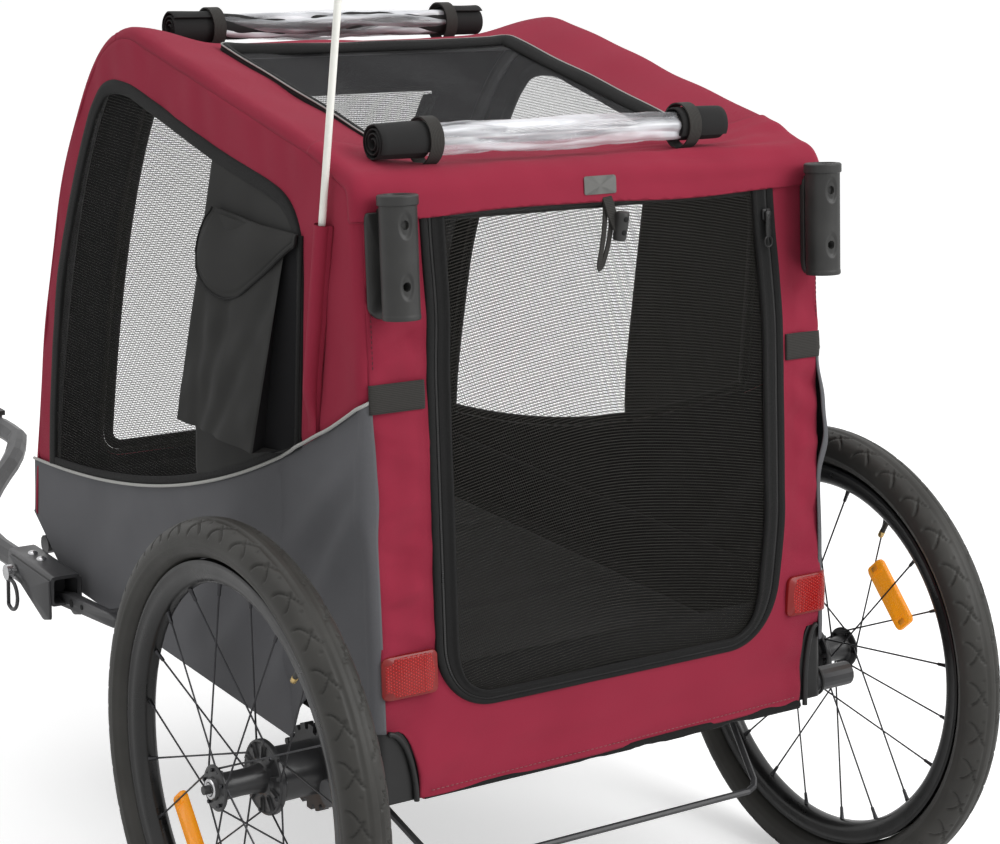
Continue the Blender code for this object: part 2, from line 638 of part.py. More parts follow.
def make_brake_bar():
    """Bent wire: a cross piece, two arms, two pivot lengths and a pawl at each end."""
    steel = material("brake_wire", (0.04, 0.04, 0.042), 0.4, 0.6)
    angle = math.radians(PAWL_ANGLE)
    crank = Vector((0, -math.cos(angle), math.sin(angle)))
    bend = Vector((BAR_BEND, 0, 0))
    inner = Vector((BAR_INNER, *BAR_PIVOT))
    outer = Vector((BAR_OUTER, *BAR_PIVOT))
    pawl = outer + crank * PAWL_CRANK
    corner = Vector(BAR_CORNER)
    arm = (corner - inner).normalized()
    across = Vector((-BAR_ELBOW, 0, 0))
    half = [Vector((PAWL_END, pawl.y, pawl.z)), pawl + bend, pawl - crank * BAR_BEND,
            outer + crank * BAR_BEND, outer - bend, inner, inner - bend + arm * BAR_BEND,
            corner - arm * BAR_ELBOW, corner - arm * BAR_ELBOW * 0.3 + across * 0.3, corner + across]
    route = [tuple(p) for p in half] + [(-p[0], p[1], p[2]) for p in half[::-1]]
    pipe("brake_bar", route, BAR_RADIUS, steel, 8)


def piping_height(y):
    """Height of the seam between the grey panel and the burgundy cover: the cubic through four places."""
    height = 0.0
    for i, (here, z) in enumerate(PIPING):
        for k, (other, _) in enumerate(PIPING):
            if k != i:
                z *= (y - other) / (here - other)
        height += z
    return height


def window_outline():
    """Side window from its front foot on the piping, over its top, to its rear foot."""
    front, rear = WINDOW_ENDS
    return ([Vector((front, piping_height(front) + SEAM))] + [Vector(p) for p in WINDOW_LINE]
            + [Vector((rear, piping_height(rear) + SEAM))])


def piping_line(start, end, offset):
    """The piping's own points between two places, so that both panels share one line."""
    low, high = sorted((start, end))
    own = [i * PIPING_STEP for i in range(-6, 40) if low < i * PIPING_STEP < high]
    line = [low, *own, high]
    if start > end:
        line.reverse()
    return [Vector((y, piping_height(y) + offset)) for y in line]


def make_sides():
    burgundy = material("burgundy_cloth", (0.30, 0.045, 0.075), 0.85)
    grey = material("grey_cloth", (0.080, 0.080, 0.086), 0.85)
    mesh_black = material("black_mesh", (0.02, 0.02, 0.02), 0.8)
    rear, front = skin_profile()
    edge = inward(rear[:-1] + front, SKIN + SEAM)
    rear_edge = [p for p in edge if p.x < REAR_SEAM_Y]
    # the rear edge crosses the piping on the straight wall
    rear_at = rear_y(0.62) + SKIN + SEAM
    front_line = edge[len(rear) - 1:]
    pipe_front = piping_height(0.664)
    front_at = crossing(front_line, pipe_front)
    upper_front = [p for p in front_line if p.y > pipe_front + 0.004]
    lower_front = [p for p in front_line if p.y < pipe_front - 0.004]
    upper = rear_edge[1:] + upper_front
    upper += piping_line(front_at, WINDOW_ENDS[0] + 0.003, SEAM)
    upper += window_outline()
    upper += piping_line(WINDOW_ENDS[1] - 0.003, rear_at, SEAM)
    lower = piping_line(rear_at, front_at, -SEAM)
    lower += lower_front
    lower += [Vector(FRONT_NOTCH)]
    lower += [Vector((ARCH_RADIUS * math.cos(a), AXLE_HEIGHT + 0.0025 + ARCH_RADIUS * math.sin(a)))
              for a in np.linspace(0, math.pi * 0.72, 12)]
    notch_y = rear_y(NOTCH_HEIGHT) + SKIN + SEAM
    lower = [p for p in lower if not (p.x < notch_y + NOTCH_DEPTH and p.y < NOTCH_HEIGHT)]
    lower += [Vector((notch_y + NOTCH_DEPTH, NOTCH_HEIGHT)), Vector((notch_y, NOTCH_HEIGHT))]
    pane_line = inward(window_outline(), -2 * SEAM)
    pane = pane_line[1:-1] + piping_line(WINDOW_ENDS[1] + 3 * SEAM, WINDOW_ENDS[0] - 3 * SEAM, 2 * SEAM)
    half = CABIN_HALF
    for side, out in both_sides():
        x0, x1 = sorted(((half - SKIN) * out, half * out))
        prism(side + "_side_cover", upper, "X", x0, x1, burgundy)
        prism(side + "_lower_panel", lower, "X", x0, x1, grey)
        x0, x1 = sorted(((half - MESH) * out, half * out))
        prism(side + "_side_mesh", pane, "X", x0, x1, mesh_black)
    return burgundy, mesh_black


def make_cover(burgundy, mesh_black):
    rear, front = skin_profile()
    half = CABIN_HALF
    seam = round(len(front) * FRONT_SEAM_SHARE)
    skin = rear + front
    roof_start, roof_end = len(rear) - 1, len(rear) + seam
    rear_cover = prism("rear_cover", band(skin, end=roof_start), "X", -half, half, burgundy)
    door_round = [DOOR_ROUND, DOOR_ROUND, DOOR_ROUND_TOP, DOOR_ROUND_TOP]
    cut(rear_cover, prism_mesh(rounded((-DOOR_HALF, DOOR_BOTTOM), (DOOR_HALF, DOOR_TOP), door_round),
                               "Y", *REAR_CUT))
    for side, out in both_sides():
        inner, outer = half - NOTCH_WIDTH, half + 0.02
        quarter = [(outer * out, NOTCH_HEIGHT), (outer * out, REAR_FOOT[1] - 0.02),
                   (inner * out, REAR_FOOT[1] - 0.02)]
        for i in range(6):
            a = math.pi / 2 * i / 5
            quarter.append(((half - 0.012 - (NOTCH_WIDTH - 0.012) * math.cos(a)) * out,
                            REAR_FOOT[1] + (NOTCH_HEIGHT - REAR_FOOT[1]) * math.sin(a)))
        cut(rear_cover, prism_mesh(quarter, "Y", *REAR_CUT))
    door = prism("rear_door", band(rear[:2], MESH_IN, MESH_IN + MESH), "X", -half, half, mesh_black)
    tight = 2 * SEAM
    combine(door, place("rear_door_shape", prism_mesh(
        rounded((-DOOR_HALF + tight, DOOR_BOTTOM + tight), (DOOR_HALF - tight, DOOR_TOP - tight), door_round),
        "Y", *REAR_CUT), None), "INTERSECT")
    roof = prism("roof_cover", band(skin, start=roof_start, end=roof_end), "X", -half, half, burgundy)
    cut(roof, prism_mesh(rounded((-ROOF_WINDOW_HALF, ROOF_WINDOW_REAR), (ROOF_WINDOW_HALF, ROOF_WINDOW_FRONT),
                                 [WINDOW_ROUND] * 4, 3), "Z", *ROOF_CUT))
    pane = prism("roof_mesh", band(skin[roof_start:roof_start + 2], MESH_IN, MESH_IN + MESH), "X",
                 -half, half, mesh_black)
    combine(pane, place("roof_mesh_shape", prism_mesh(
        rounded((-ROOF_WINDOW_HALF + tight, ROOF_WINDOW_REAR + tight),
                (ROOF_WINDOW_HALF - tight, ROOF_WINDOW_FRONT - tight), [WINDOW_ROUND] * 4, 3),
        "Z", *ROOF_CUT), None),
        "INTERSECT")
    cover = prism("front_cover", band(skin, start=roof_end), "X", -half, half, burgundy)
    round_front = [FRONT_DOOR_ROUND, FRONT_DOOR_ROUND, DOOR_ROUND_TOP, DOOR_ROUND_TOP]
    cut(cover, prism_mesh(rounded((-FRONT_DOOR_HALF, FRONT_DOOR_BOTTOM), (FRONT_DOOR_HALF, FRONT_DOOR_TOP),
                                  round_front, 4), "Y", *FRONT_CUT))
    front_door = prism("front_door", band(skin, MESH_IN, MESH_IN + MESH, roof_end), "X",
                       -half, half, mesh_black)
    combine(front_door, place("front_door_shape", prism_mesh(
        rounded((-FRONT_DOOR_HALF + tight, FRONT_DOOR_BOTTOM + tight),
                (FRONT_DOOR_HALF - tight, FRONT_DOOR_TOP - tight), round_front, 4), "Y", *FRONT_CUT), None),
        "INTERSECT")


def make_zip_slider():
    """Slider and hanging pull on the right-hand zip of the rear door."""
    black = material("zip_metal", (0.05, 0.05, 0.05), 0.35, 0.8)
    x = DOOR_HALF - ZIP_IN
    wide, top, bottom, pull_wide, pull_end = SLIDER

    def face(z, out):
        return Vector((rear_y(z) - out, z))
    body = [face(top, GAP), face(top, 0.005), face(bottom, 0.005), face(bottom, GAP)]
    slider = prism("rear_zip_slider", body, "X", x - wide / 2, x + wide / 2, black)
    pull = [face(top - 0.002, 0.004), face(top - 0.002, 0.0065),
            face(pull_end, 0.0065), face(pull_end, 0.004)]
    add(slider, prism_mesh(pull, "X", x - pull_wide / 2, x + pull_wide / 2))


def make_sockets():
    plastic = material("socket_plastic", (0.045, 0.045, 0.044), 0.45)
    for side, out in both_sides():
        top = Vector((SOCKET_X * out, *SOCKET_TOP))
        bottom = Vector((SOCKET_X * out, *SOCKET_BOTTOM))
        along = (top - bottom).normalized()
        socket = rod(side + "_handle_socket", bottom, top, SOCKET_RADIUS, plastic, 20)
        add(socket, rod_mesh(top - along * COLLAR[0], top + along * 0.0005, SOCKET_RADIUS + COLLAR[1], 20))

        def wall(z, out_by):
            return (rear_y(z) - out_by, z)

        def strip(below, above, near, far):
            high, low = SOCKET_TOP[1] - below, SOCKET_BOTTOM[1] + above
            return [wall(high, near), wall(high, far), wall(low, far), wall(low, near)]
        edge, below, above, thick = PLATE
        x0, x1 = sorted(((SOCKET_X - edge) * out, (CABIN_HALF - 0.001) * out))
        add(socket, prism_mesh(strip(below, above, GAP, thick), "X", x0, x1))
        start, below, above, wide = WEB
        x0, x1 = sorted(((SOCKET_X + start) * out, (SOCKET_X + start + wide) * out))
        add(socket, prism_mesh(strip(below, above, 0.002, SOCKET_RADIUS * 2), "X", x0, x1))
        cut(socket, rod_mesh(bottom - along * 0.01, top + along * 0.01, SOCKET_BORE, 20))
        for share in SOCKET_HOLES:
            middle = bottom.lerp(top, share)
            cut(socket, rod_mesh(middle, middle + Vector((-0.3 * out, -1.0, 0.0)) * SOCKET_RADIUS * 2,
                                 SOCKET_HOLE, 12))


def make_reflectors():
    red = material("red_lens", (0.65, 0.02, 0.02), 0.25)
    wide, tall = REFLECTOR_SIZE
    x, z = REFLECTOR_PLACE
    for side, out in both_sides():
        low, high = z - tall / 2, z + tall / 2
        back_high, back_low = rear_y(high) - GAP, rear_y(low) - GAP
        outline = [(back_low, low), (back_high, high),
                   (back_high - REFLECTOR_DEPTH + REFLECTOR_EDGE, high),
                   (back_high - REFLECTOR_DEPTH, high - REFLECTOR_EDGE),
                   (back_low - REFLECTOR_DEPTH, low + REFLECTOR_EDGE),
                   (back_low - REFLECTOR_DEPTH + REFLECTOR_EDGE, low)]
        x0, x1 = sorted(((x - wide / 2) * out, (x + wide / 2) * out))
        prism(side + "_rear_reflector", outline, "X", x0, x1, red)


def make_corner_covers():
    """Black shells that close the cabin's rear lower corners round the cross tube."""
    plastic = material("corner_plastic", (0.03, 0.03, 0.03), 0.6)
    half = CABIN_HALF
    low, high = REAR_FOOT[1] - 0.006, NOTCH_HEIGHT - SEAM
    for side, out in both_sides():
        quarter = []
        for i in range(7):
            a = math.pi / 2 * i / 6
            quarter.append(((half - 0.012 - (NOTCH_WIDTH - 0.013) * math.cos(a)) * out,
                            REAR_FOOT[1] + (high - REAR_FOOT[1] - 0.001) * math.sin(a)))
        quarter += [((half - SEAM) * out, high - 0.001), ((half - SEAM) * out, low),
                    ((half - NOTCH_WIDTH + 0.001) * out, low)]
        line = [Vector((rear_y(low), low)), Vector((rear_y(high), high))]
        shell = prism(side + "_corner_cover", band(line, MESH_IN, MESH_IN + COVER_THICKNESS), "X",
                      *sorted(((half - 2 * NOTCH_WIDTH) * out, (half - SEAM) * out)), plastic)
        combine(shell, place(side + "_corner_shape", prism_mesh(quarter, "Y", *REAR_CUT), None), "INTERSECT")
        depth = NOTCH_DEPTH - 2 * SEAM
        cheek = [(rear_y(low) + 0.002, low), (rear_y(low) + depth - 0.008, low),
                 (rear_y(high) + depth, low + 0.02), (rear_y(high) + depth, high - 0.001),
                 (rear_y(high) + 0.002, high - 0.001)]
        add(shell, prism_mesh(cheek, "X", *sorted(((half - COVER_THICKNESS) * out, (half - SEAM) * out))))
        cut(shell, rod_mesh(((half - 0.03) * out, *REAR_TUBE), ((half + 0.03) * out, *REAR_TUBE),
                            CROSS_RADIUS + GAP, 16))


def make_pockets():
    cloth = material("pocket_cloth", (0.035, 0.035, 0.035), 0.9)
    half = CABIN_HALF + SEAM
    rear_end, front_end, low, high = POCKET
    for side, out in both_sides():
        first, second, third = POCKET_RISE
        bag = [(half * out, low), ((half + POCKET_BULGE * 0.7) * out, low + first),
               ((half + POCKET_BULGE) * out, low + second), ((half + POCKET_BULGE * 0.9) * out, low + third),
               ((half + POCKET_TOP_BULGE) * out, high), (half * out, high)]
        prism(side + "_pocket", bag, "Y", rear_end, front_end, cloth)
        top = high + FLAP_THICKNESS
        near_low, near_high = half + POCKET_BULGE * 0.82 + FLAP_OVER, half + POCKET_TOP_BULGE + FLAP_OVER / 4
        flap = [(near_high * out, top), ((near_high + FLAP_THICKNESS) * out, top),
                ((near_low + FLAP_THICKNESS) * out, top - FLAP_DROP), (near_low * out, top - FLAP_DROP)]
        prism(side + "_pocket_flap", flap, "Y", rear_end - FLAP_OVER, front_end + FLAP_OVER, cloth)


def make_rolls():
    """Rain covers rolled up and held at the rear and front edge of the roof."""
    cloth = material("rolled_cover", (0.05, 0.05, 0.05), 0.7)
    half, y, radius = REAR_ROLL
    z = roof_height(y) + radius * math.sqrt(1 + ROOF_SLOPE ** 2) + 0.001
    rod("rear_rolled_cover", (-half, y, z), (half, y, z), radius, cloth, 20)
    half, y, radius = FRONT_ROLL
    _, front = skin_profile()
    above = inward(front, -radius - 0.002)
    z = max(a.y + (b.y - a.y) * (y - a.x) / (b.x - a.x) for a, b in zip(above, above[1:])
            if min(a.x, b.x) <= y <= max(a.x, b.x))
    rod("front_rolled_cover", (-half, y, z), (half, y, z), radius, cloth, 20)


def make_flag(burgundy):
    white = material("pole", (0.75, 0.75, 0.70), 0.4)
    orange = material("pennant_cloth", (0.9, 0.25, 0.03), 0.7)
    x = -(CABIN_HALF + SLEEVE_RADIUS + SEAM)
    foot = Vector((x, *POLE_FOOT))
    up = Vector((0, -POLE_LEAN, 1.0)).normalized()
    sleeve = rod("flag_sleeve", foot, foot + up * SLEEVE_LENGTH, SLEEVE_RADIUS, burgundy, 14)
    cut(sleeve, rod_mesh(foot + up * 0.004, foot + up * (SLEEVE_LENGTH + 0.01), POLE_RADIUS + 0.0006, 12))
    start, tip = foot + up * 0.005, foot + up * POLE_LENGTH
    rod("flag_pole", start, tip, POLE_RADIUS, white, 10)
    depth, height = PENNANT
    tip = foot + up * (POLE_LENGTH - 0.010)
    base = tip - up * height
    back = POLE_RADIUS + GAP
    outline = [(tip.y - back, tip.z), (base.y - back, base.z),
               ((tip.y + base.y) / 2 - depth, (tip.z + base.z) / 2 - 0.02)]
    prism("pennant", outline, "X", x - PENNANT_THICKNESS / 2, x + PENNANT_THICKNESS / 2, orange)


def make_drawbar():
    black = material("drawbar_black", (0.03, 0.03, 0.032), 0.4, 0.5)
    plastic = material("hitch_plastic", (0.04, 0.04, 0.04), 0.5)
    steel = material("pin_steel", (0.5, 0.5, 0.5), 0.3, 1.0)
    low_y, high_y = SOCKET_REACH
    wall = DRAWBAR_RADIUS + SOCKET_WALL
    x0, x1 = DRAWBAR_X - wall, DRAWBAR_X + wall
    z = DRAWBAR_Z
    side = [(high_y, z - wall), (high_y, z + wall), (low_y, z + wall), (low_y - 0.020, z - 0.006),
            (low_y - 0.150, z - 0.020), (low_y - 0.150, z - 0.028), (low_y, z - 0.034),
            (low_y + 0.040, z - 0.034)]
    bracket = prism("drawbar_bracket", side, "X", x0, x1, black)
    near = -SIDE_TUBE_X - TUBE_RADIUS - GAP
    arm = [(x1 - 0.004, low_y - 0.148), (near, low_y - 0.148),
           (near, low_y - 0.098), (x1 - 0.004, low_y - 0.098)]
    add(bracket, prism_mesh(arm, "Z", z - 0.0275, z - 0.0205))
    side_z = AXLE_HEIGHT + BEAM_RADIUS + TUBE_RADIUS + GAP
    post = [(near - 0.008, low_y - 0.147), (near, low_y - 0.147),
            (near, low_y - 0.099), (near - 0.008, low_y - 0.099)]
    add(bracket, prism_mesh(post, "Z", z - 0.024, side_z - TUBE_RADIUS * 0.2))
    cut(bracket, rod_mesh((DRAWBAR_X, low_y + 0.002, z), (DRAWBAR_X, high_y + 0.02, z),
                          DRAWBAR_RADIUS + RUN, 16))
    hole = rod_mesh((x0 - 0.01, PIN_Y, z), (x1 + 0.01, PIN_Y, z), PIN_RADIUS + RUN, 12)
    cut(bracket, hole)
    route = [(DRAWBAR_X + x, y, z + up) for x, y, up in DRAWBAR_ROUTE]
    bar = pipe("drawbar", smooth_route(route, 0.03), DRAWBAR_RADIUS, black)
    cut(bar, hole.copy())
    head_radius, head_thick = PIN_HEAD
    pin = rod("drawbar_pin", (x0 - head_thick, PIN_Y, z), (x1 + 0.006, PIN_Y, z), PIN_RADIUS, steel, 12)
    add(pin, rod_mesh((x0 - 0.004 - head_thick, PIN_Y, z), (x0 - 0.004, PIN_Y, z), head_radius, 16))
    make_hitch(plastic)


def make_hitch(plastic):
    """Swivelling block with an eye, and a fork that turns on the eye's bolt."""
    hx, hy, hz = HITCH_PLACE
    size = HITCH_SIZE / 2
    eye = turned_mesh([(-size, BOLT_RADIUS), (size, BOLT_RADIUS),
                       (size, size - 0.001), (-size, size - 0.001)], 20)
    eye.transform(Matrix.Translation((hx, hy, hz)) @ Matrix.Rotation(math.pi / 2, 4, "Y"))
    start = hy - (HITCH_PLACE[1] - DRAWBAR_ROUTE[-1][1]) + GAP
    head = rod("hitch_block", (hx, start, hz), (hx, hy - size / 2, hz),
               DRAWBAR_RADIUS - 0.0007, plastic, 16)
    add(head, eye)
    cut(head, rod_mesh((hx, hy, hz - 0.03), (hx, hy, hz + 0.03), BOLT_RADIUS + RUN, 16))
    inside, outside = CHEEK
    back, end, web = hy - size, hy + FORK_REACH, hy + 0.014
    fork = place("hitch_fork", prism_mesh(
        [(back, hz + inside), (back, hz + outside), (end, hz + outside), (end, hz - outside),
         (back, hz - outside), (back, hz - inside), (web, hz - inside), (web, hz + inside)],
        "X", hx - size + 0.001, hx + size - 0.001), plastic)
    add(fork, rod_mesh((hx, hy, hz - inside - 0.0025), (hx, hy, hz + inside + 0.0025), BOLT_RADIUS, 16))
    bolt_y = hy + FORK_BOLT[0]
    cut(fork, rod_mesh((hx - 0.03, bolt_y, hz), (hx + 0.03, bolt_y, hz), FORK_BOLT[1], 16))


for old in list(bpy.data.objects):
    bpy.data.objects.remove(old, do_unlink=True)

reach = HITCH_PLACE[1] + FORK_REACH
trailer = bpy.data.objects.new("trailer", None)
bpy.context.scene.collection.objects.link(trailer)
trailer.location = (0, -(reach - TYRE_RADIUS) / 2, 0)

make_wheels()
make_frame()
make_brake_bar()
burgundy, mesh_black = make_sides()
make_cover(burgundy, mesh_black)
make_zip_slider()
make_sockets()
make_reflectors()
make_corner_covers()
make_pockets()
make_rolls()
make_flag(burgundy)
make_drawbar()
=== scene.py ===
import math
import bmesh
import bpy
import numpy as np
from mathutils import Matrix, Vector


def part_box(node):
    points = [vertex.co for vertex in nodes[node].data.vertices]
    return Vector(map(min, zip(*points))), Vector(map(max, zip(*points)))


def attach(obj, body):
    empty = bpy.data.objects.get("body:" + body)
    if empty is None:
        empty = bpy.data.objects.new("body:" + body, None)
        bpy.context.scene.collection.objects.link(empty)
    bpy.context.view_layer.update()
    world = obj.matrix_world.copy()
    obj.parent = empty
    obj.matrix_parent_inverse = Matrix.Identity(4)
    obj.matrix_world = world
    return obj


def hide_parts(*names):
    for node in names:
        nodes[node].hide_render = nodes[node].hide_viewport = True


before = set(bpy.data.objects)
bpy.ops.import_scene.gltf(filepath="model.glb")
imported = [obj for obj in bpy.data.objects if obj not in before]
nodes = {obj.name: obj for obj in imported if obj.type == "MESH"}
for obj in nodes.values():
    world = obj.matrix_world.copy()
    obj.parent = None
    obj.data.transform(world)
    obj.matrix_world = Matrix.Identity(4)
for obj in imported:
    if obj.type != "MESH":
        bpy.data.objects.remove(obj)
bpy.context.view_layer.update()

# Every place below is measured from the ground under the middle of the axle.
tyreLow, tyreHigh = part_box("left_tyre")
axleY = (tyreLow.y + tyreHigh.y) / 2
axleZ = (tyreLow.z + tyreHigh.z) / 2
tau = 2 * math.pi
bothSides = ((-1, "left"), (1, "right"))


# Nodes that the light and the finishes share

def calc(tree, kind, a, b=None, c=None):
    # a math node fed with numbers or sockets
    node = tree.nodes.new("ShaderNodeMath")
    node.operation = kind
    for socket, value in zip(node.inputs, (a, b, c)):
        if isinstance(value, (int, float)):
            socket.default_value = value
        elif value is not None:
            tree.links.new(value, socket)
    return node.outputs[0]


def spread(tree, value, low, high, fromLow=0.3, fromHigh=0.7):
    # carries a value from one range to another
    node = tree.nodes.new("ShaderNodeMapRange")
    for key, number in (("From Min", fromLow), ("From Max", fromHigh), ("To Min", low), ("To Max", high)):
        node.inputs[key].default_value = number
    tree.links.new(value, node.inputs["Value"])
    return node.outputs[0]


# Camera, light and floor

view = dict(place=(-1.3323, -1.7915, 1.1469), heading=-34.858, down=15.076, roll=2.304, focalPixels=2377.1,
            picture=1000, sensor=36.0)
light = dict(worldOnObject=0.62, keySize=2.6, keyPower=62, keyFrom=(1.5, -2.7, 2.6),
             topSize=3.0, topPower=22, topFrom=(-0.6, 0.2, 3.2), aim=(0, 0, 0.45))
ground = dict(half=40.0, paint=0.93, lift=0.44)


def addToScene(name, data):
    thing = bpy.data.objects.new(name, data)
    bpy.context.scene.collection.objects.link(thing)
    return thing


def makeCamera():
    # looks along its heading and down, then rolls; columns of the matrix are right, up and backwards
    a, b, c = (math.radians(view[k]) for k in ("heading", "down", "roll"))
    ahead = Vector((-math.sin(a) * math.cos(b), math.cos(a) * math.cos(b), -math.sin(b)))
    level = ahead.cross(Vector((0, 0, 1))).normalized()
    upright = level.cross(ahead)
    right = level * math.cos(c) + upright * math.sin(c)
    up = upright * math.cos(c) - level * math.sin(c)
    lens = bpy.data.cameras.new("camera")
    lens.sensor_width = view["sensor"]
    lens.lens = view["focalPixels"] * view["sensor"] / view["picture"]
    camera = addToScene("camera", lens)
    x, y, z = view["place"]
    turn = Matrix((right, up, -ahead)).transposed().to_4x4()
    camera.matrix_world = Matrix.Translation((x, y + axleY, z)) @ turn
    bpy.context.scene.camera = camera


def softLamp(name, size, power, place):
    lamp = bpy.data.lights.new(name, "AREA")
    lamp.shape = "DISK"
    lamp.size = size
    lamp.energy = power
    thing = addToScene(name, lamp)
    thing.location = place
    aim = Vector(light["aim"]) - Vector(place)
    thing.rotation_euler = aim.to_track_quat("-Z", "Y").to_euler()


def makeWorld():
    # white where the camera, a reflection or clear film sees it, softer where it lights the object
    world = bpy.data.worlds.new("studio")
    bpy.context.scene.world = world
    world.use_nodes = True
    tree = world.node_tree
    rays = tree.nodes.new("ShaderNodeLightPath").outputs
    seen = calc(tree, "MAXIMUM", rays["Is Camera Ray"], rays["Is Glossy Ray"])
    seen = calc(tree, "MAXIMUM", seen, rays["Is Transmission Ray"])
    back = tree.nodes["Background"]
    back.inputs["Color"].default_value = (1, 1, 1, 1)
    tree.links.new(spread(tree, seen, light["worldOnObject"], 1.0, 0, 1), back.inputs["Strength"])


def makeFloor():
    # pale ground, lifted to white for the camera, that keeps the object's soft shadow
    mesh = bpy.data.meshes.new("floor")
    r = ground["half"]
    mesh.from_pydata([(-r, -r, 0), (r, -r, 0), (r, r, 0), (-r, r, 0)], [], [(0, 1, 2, 3)])
    floor = addToScene("floor", mesh)
    mat = bpy.data.materials.new("floorPale")
    mat.use_nodes = True
    tree = mat.node_tree
    tree.nodes.clear()
    out = tree.nodes.new("ShaderNodeOutputMaterial")
    paint = tree.nodes.new("ShaderNodeBsdfDiffuse")
    paint.inputs["Color"].default_value = (*[ground["paint"]] * 3, 1)
    glow = tree.nodes.new("ShaderNodeEmission")
    rays = tree.nodes.new("ShaderNodeLightPath").outputs
    both = tree.nodes.new("ShaderNodeAddShader")
    lift = calc(tree, "MULTIPLY", rays["Is Camera Ray"], ground["lift"])
    tree.links.new(lift, glow.inputs["Strength"])
    tree.links.new(paint.outputs[0], both.inputs[0])
    tree.links.new(glow.outputs[0], both.inputs[1])
    tree.links.new(both.outputs[0], out.inputs["Surface"])
    mesh.materials.append(mat)


makeCamera()
makeWorld()
softLamp("keyLamp", light["keySize"], light["keyPower"], light["keyFrom"])
softLamp("topLamp", light["topSize"], light["topPower"], light["topFrom"])
makeFloor()
bpy.context.scene.view_settings.view_transform = "Standard"
print("camera, light and floor are set")


# Working with lines and grids of points

def lengths(points, axis=0):
    # distance run along a line, or along one direction of a grid
    steps = np.linalg.norm(np.diff(points, axis=axis), axis=-1)
    start = np.zeros_like(np.take(steps, [0], axis=axis))
    return np.concatenate([start, np.cumsum(steps, axis=axis)], axis=axis)


def evenly(points, count):
    # the given number of points at even distances along a polyline
    points = np.asarray(points, float)
    run = lengths(points)
    at = np.linspace(0, run[-1], count)
    return np.stack([np.interp(at, run, points[:, k]) for k in range(points.shape[1])], 1)


def smoothLine(points, count):
    # Catmull-Rom curve through the points: each stretch is the cubic with slopes (next - last) / 2
    p = np.asarray(points, float)
    p = np.vstack([2 * p[0] - p[1], p, 2 * p[-1] - p[-2]])
    t = np.linspace(0, 1, 24, endpoint=False)[:, None]
    fine = [0.5 * (2 * b + (c - a) * t + (2 * a - 5 * b + 4 * c - d) * t ** 2 + (3 * b - a - 3 * c + d) * t ** 3)
            for a, b, c, d in zip(p[:-3], p[1:-2], p[2:-1], p[3:])]
    return evenly(np.vstack(fine + [p[-2:-1]]), count)


def unit(v):
    return v / np.maximum(np.linalg.norm(v, axis=-1, keepdims=True), 1e-12)


def leftOf(heading):
    # unit direction a quarter turn to the left of a heading in the plane
    heading = unit(heading)
    return np.stack([-heading[:, 1], heading[:, 0]], 1)


def swept(path, profile, reference):
    # profile of (sideways, upwards) carried along the path, upwards leaning to the reference
    ahead = unit(np.gradient(path, axis=0))
    side = unit(np.cross(ahead, np.broadcast_to(np.asarray(reference, float), path.shape)))
    up = np.cross(side, ahead)
    profile = np.asarray(profile, float)
    if profile.ndim == 2:
        profile = np.broadcast_to(profile, (len(path), *profile.shape))
    return path[:, None] + side[:, None] * profile[..., :1] + up[:, None] * profile[..., 1:2]


def circle(radius, count):
    a = np.arange(count) * tau / count
    return np.stack([radius * np.cos(a), radius * np.sin(a)], 1)


def tube(path, radius, sides=10, reference=(0.13, 0.21, 0.97)):
    # round section carried along the path, with a closing point at both ends
    path = np.asarray(path, float)
    radius = np.broadcast_to(np.asarray(radius, float), (len(path),))
    rings = swept(path, circle(1.0, sides)[None] * radius[:, None, None], reference)
    ends = [np.repeat(path[k][None, None], sides, 1) for k in (0, -1)]
    return dict(points=np.concatenate([ends[0], rings, ends[1]], 0), wrapCols=True)


def turned(profile, count, centre, axis):
    # profile of (along the axis, radius) turned round it: centre + axis * u + r * (b cos + c sin)
    profile = np.asarray(profile, float)
    axis = unit(np.asarray(axis, float))
    b = unit(np.cross(axis, (0.0, 0.0, 1.0) if abs(axis[2]) < 0.9 else (0.0, 1.0, 0.0)))
    c = np.cross(axis, b)
    a = np.arange(count)[:, None] * tau / count
    u, r = (np.broadcast_to(profile[:, k], (count, len(profile))) for k in (0, 1))
    points = (np.asarray(centre, float) + axis * u[..., None]
              + r[..., None] * (b * np.cos(a)[..., None] + c * np.sin(a)[..., None]))
    return dict(points=points, wrapRows=True)


def folds(u, v, size, seed, waves=9):
    # soft unevenness from -1 to 1: a sum of sine waves in seeded directions, about size long
    draw = np.random.default_rng(seed)
    total = np.zeros(np.broadcast(u, v).shape)
    for k in range(waves):
        turn, phase, length = draw.uniform(0, tau), draw.uniform(0, tau), size * draw.uniform(0.6, 1.7)
        total += np.sin((u * math.cos(turn) + v * math.sin(turn)) * tau / length + phase)
    return total / math.sqrt(waves) / 1.6


def ramp(x, low, high):
    # smooth step from 0 at low to 1 at high
    t = np.clip((np.asarray(x, float) - low) / (high - low), 0, 1)
    return t * t * (3 - 2 * t)


def rims(front, back):
    # strips that join the four edges of two matching grids
    strips = []
    for k in (0, -1):
        strips += [dict(points=np.stack([front[k], back[k]])),
                   dict(points=np.stack([front[:, k], back[:, k]]))]
    return strips


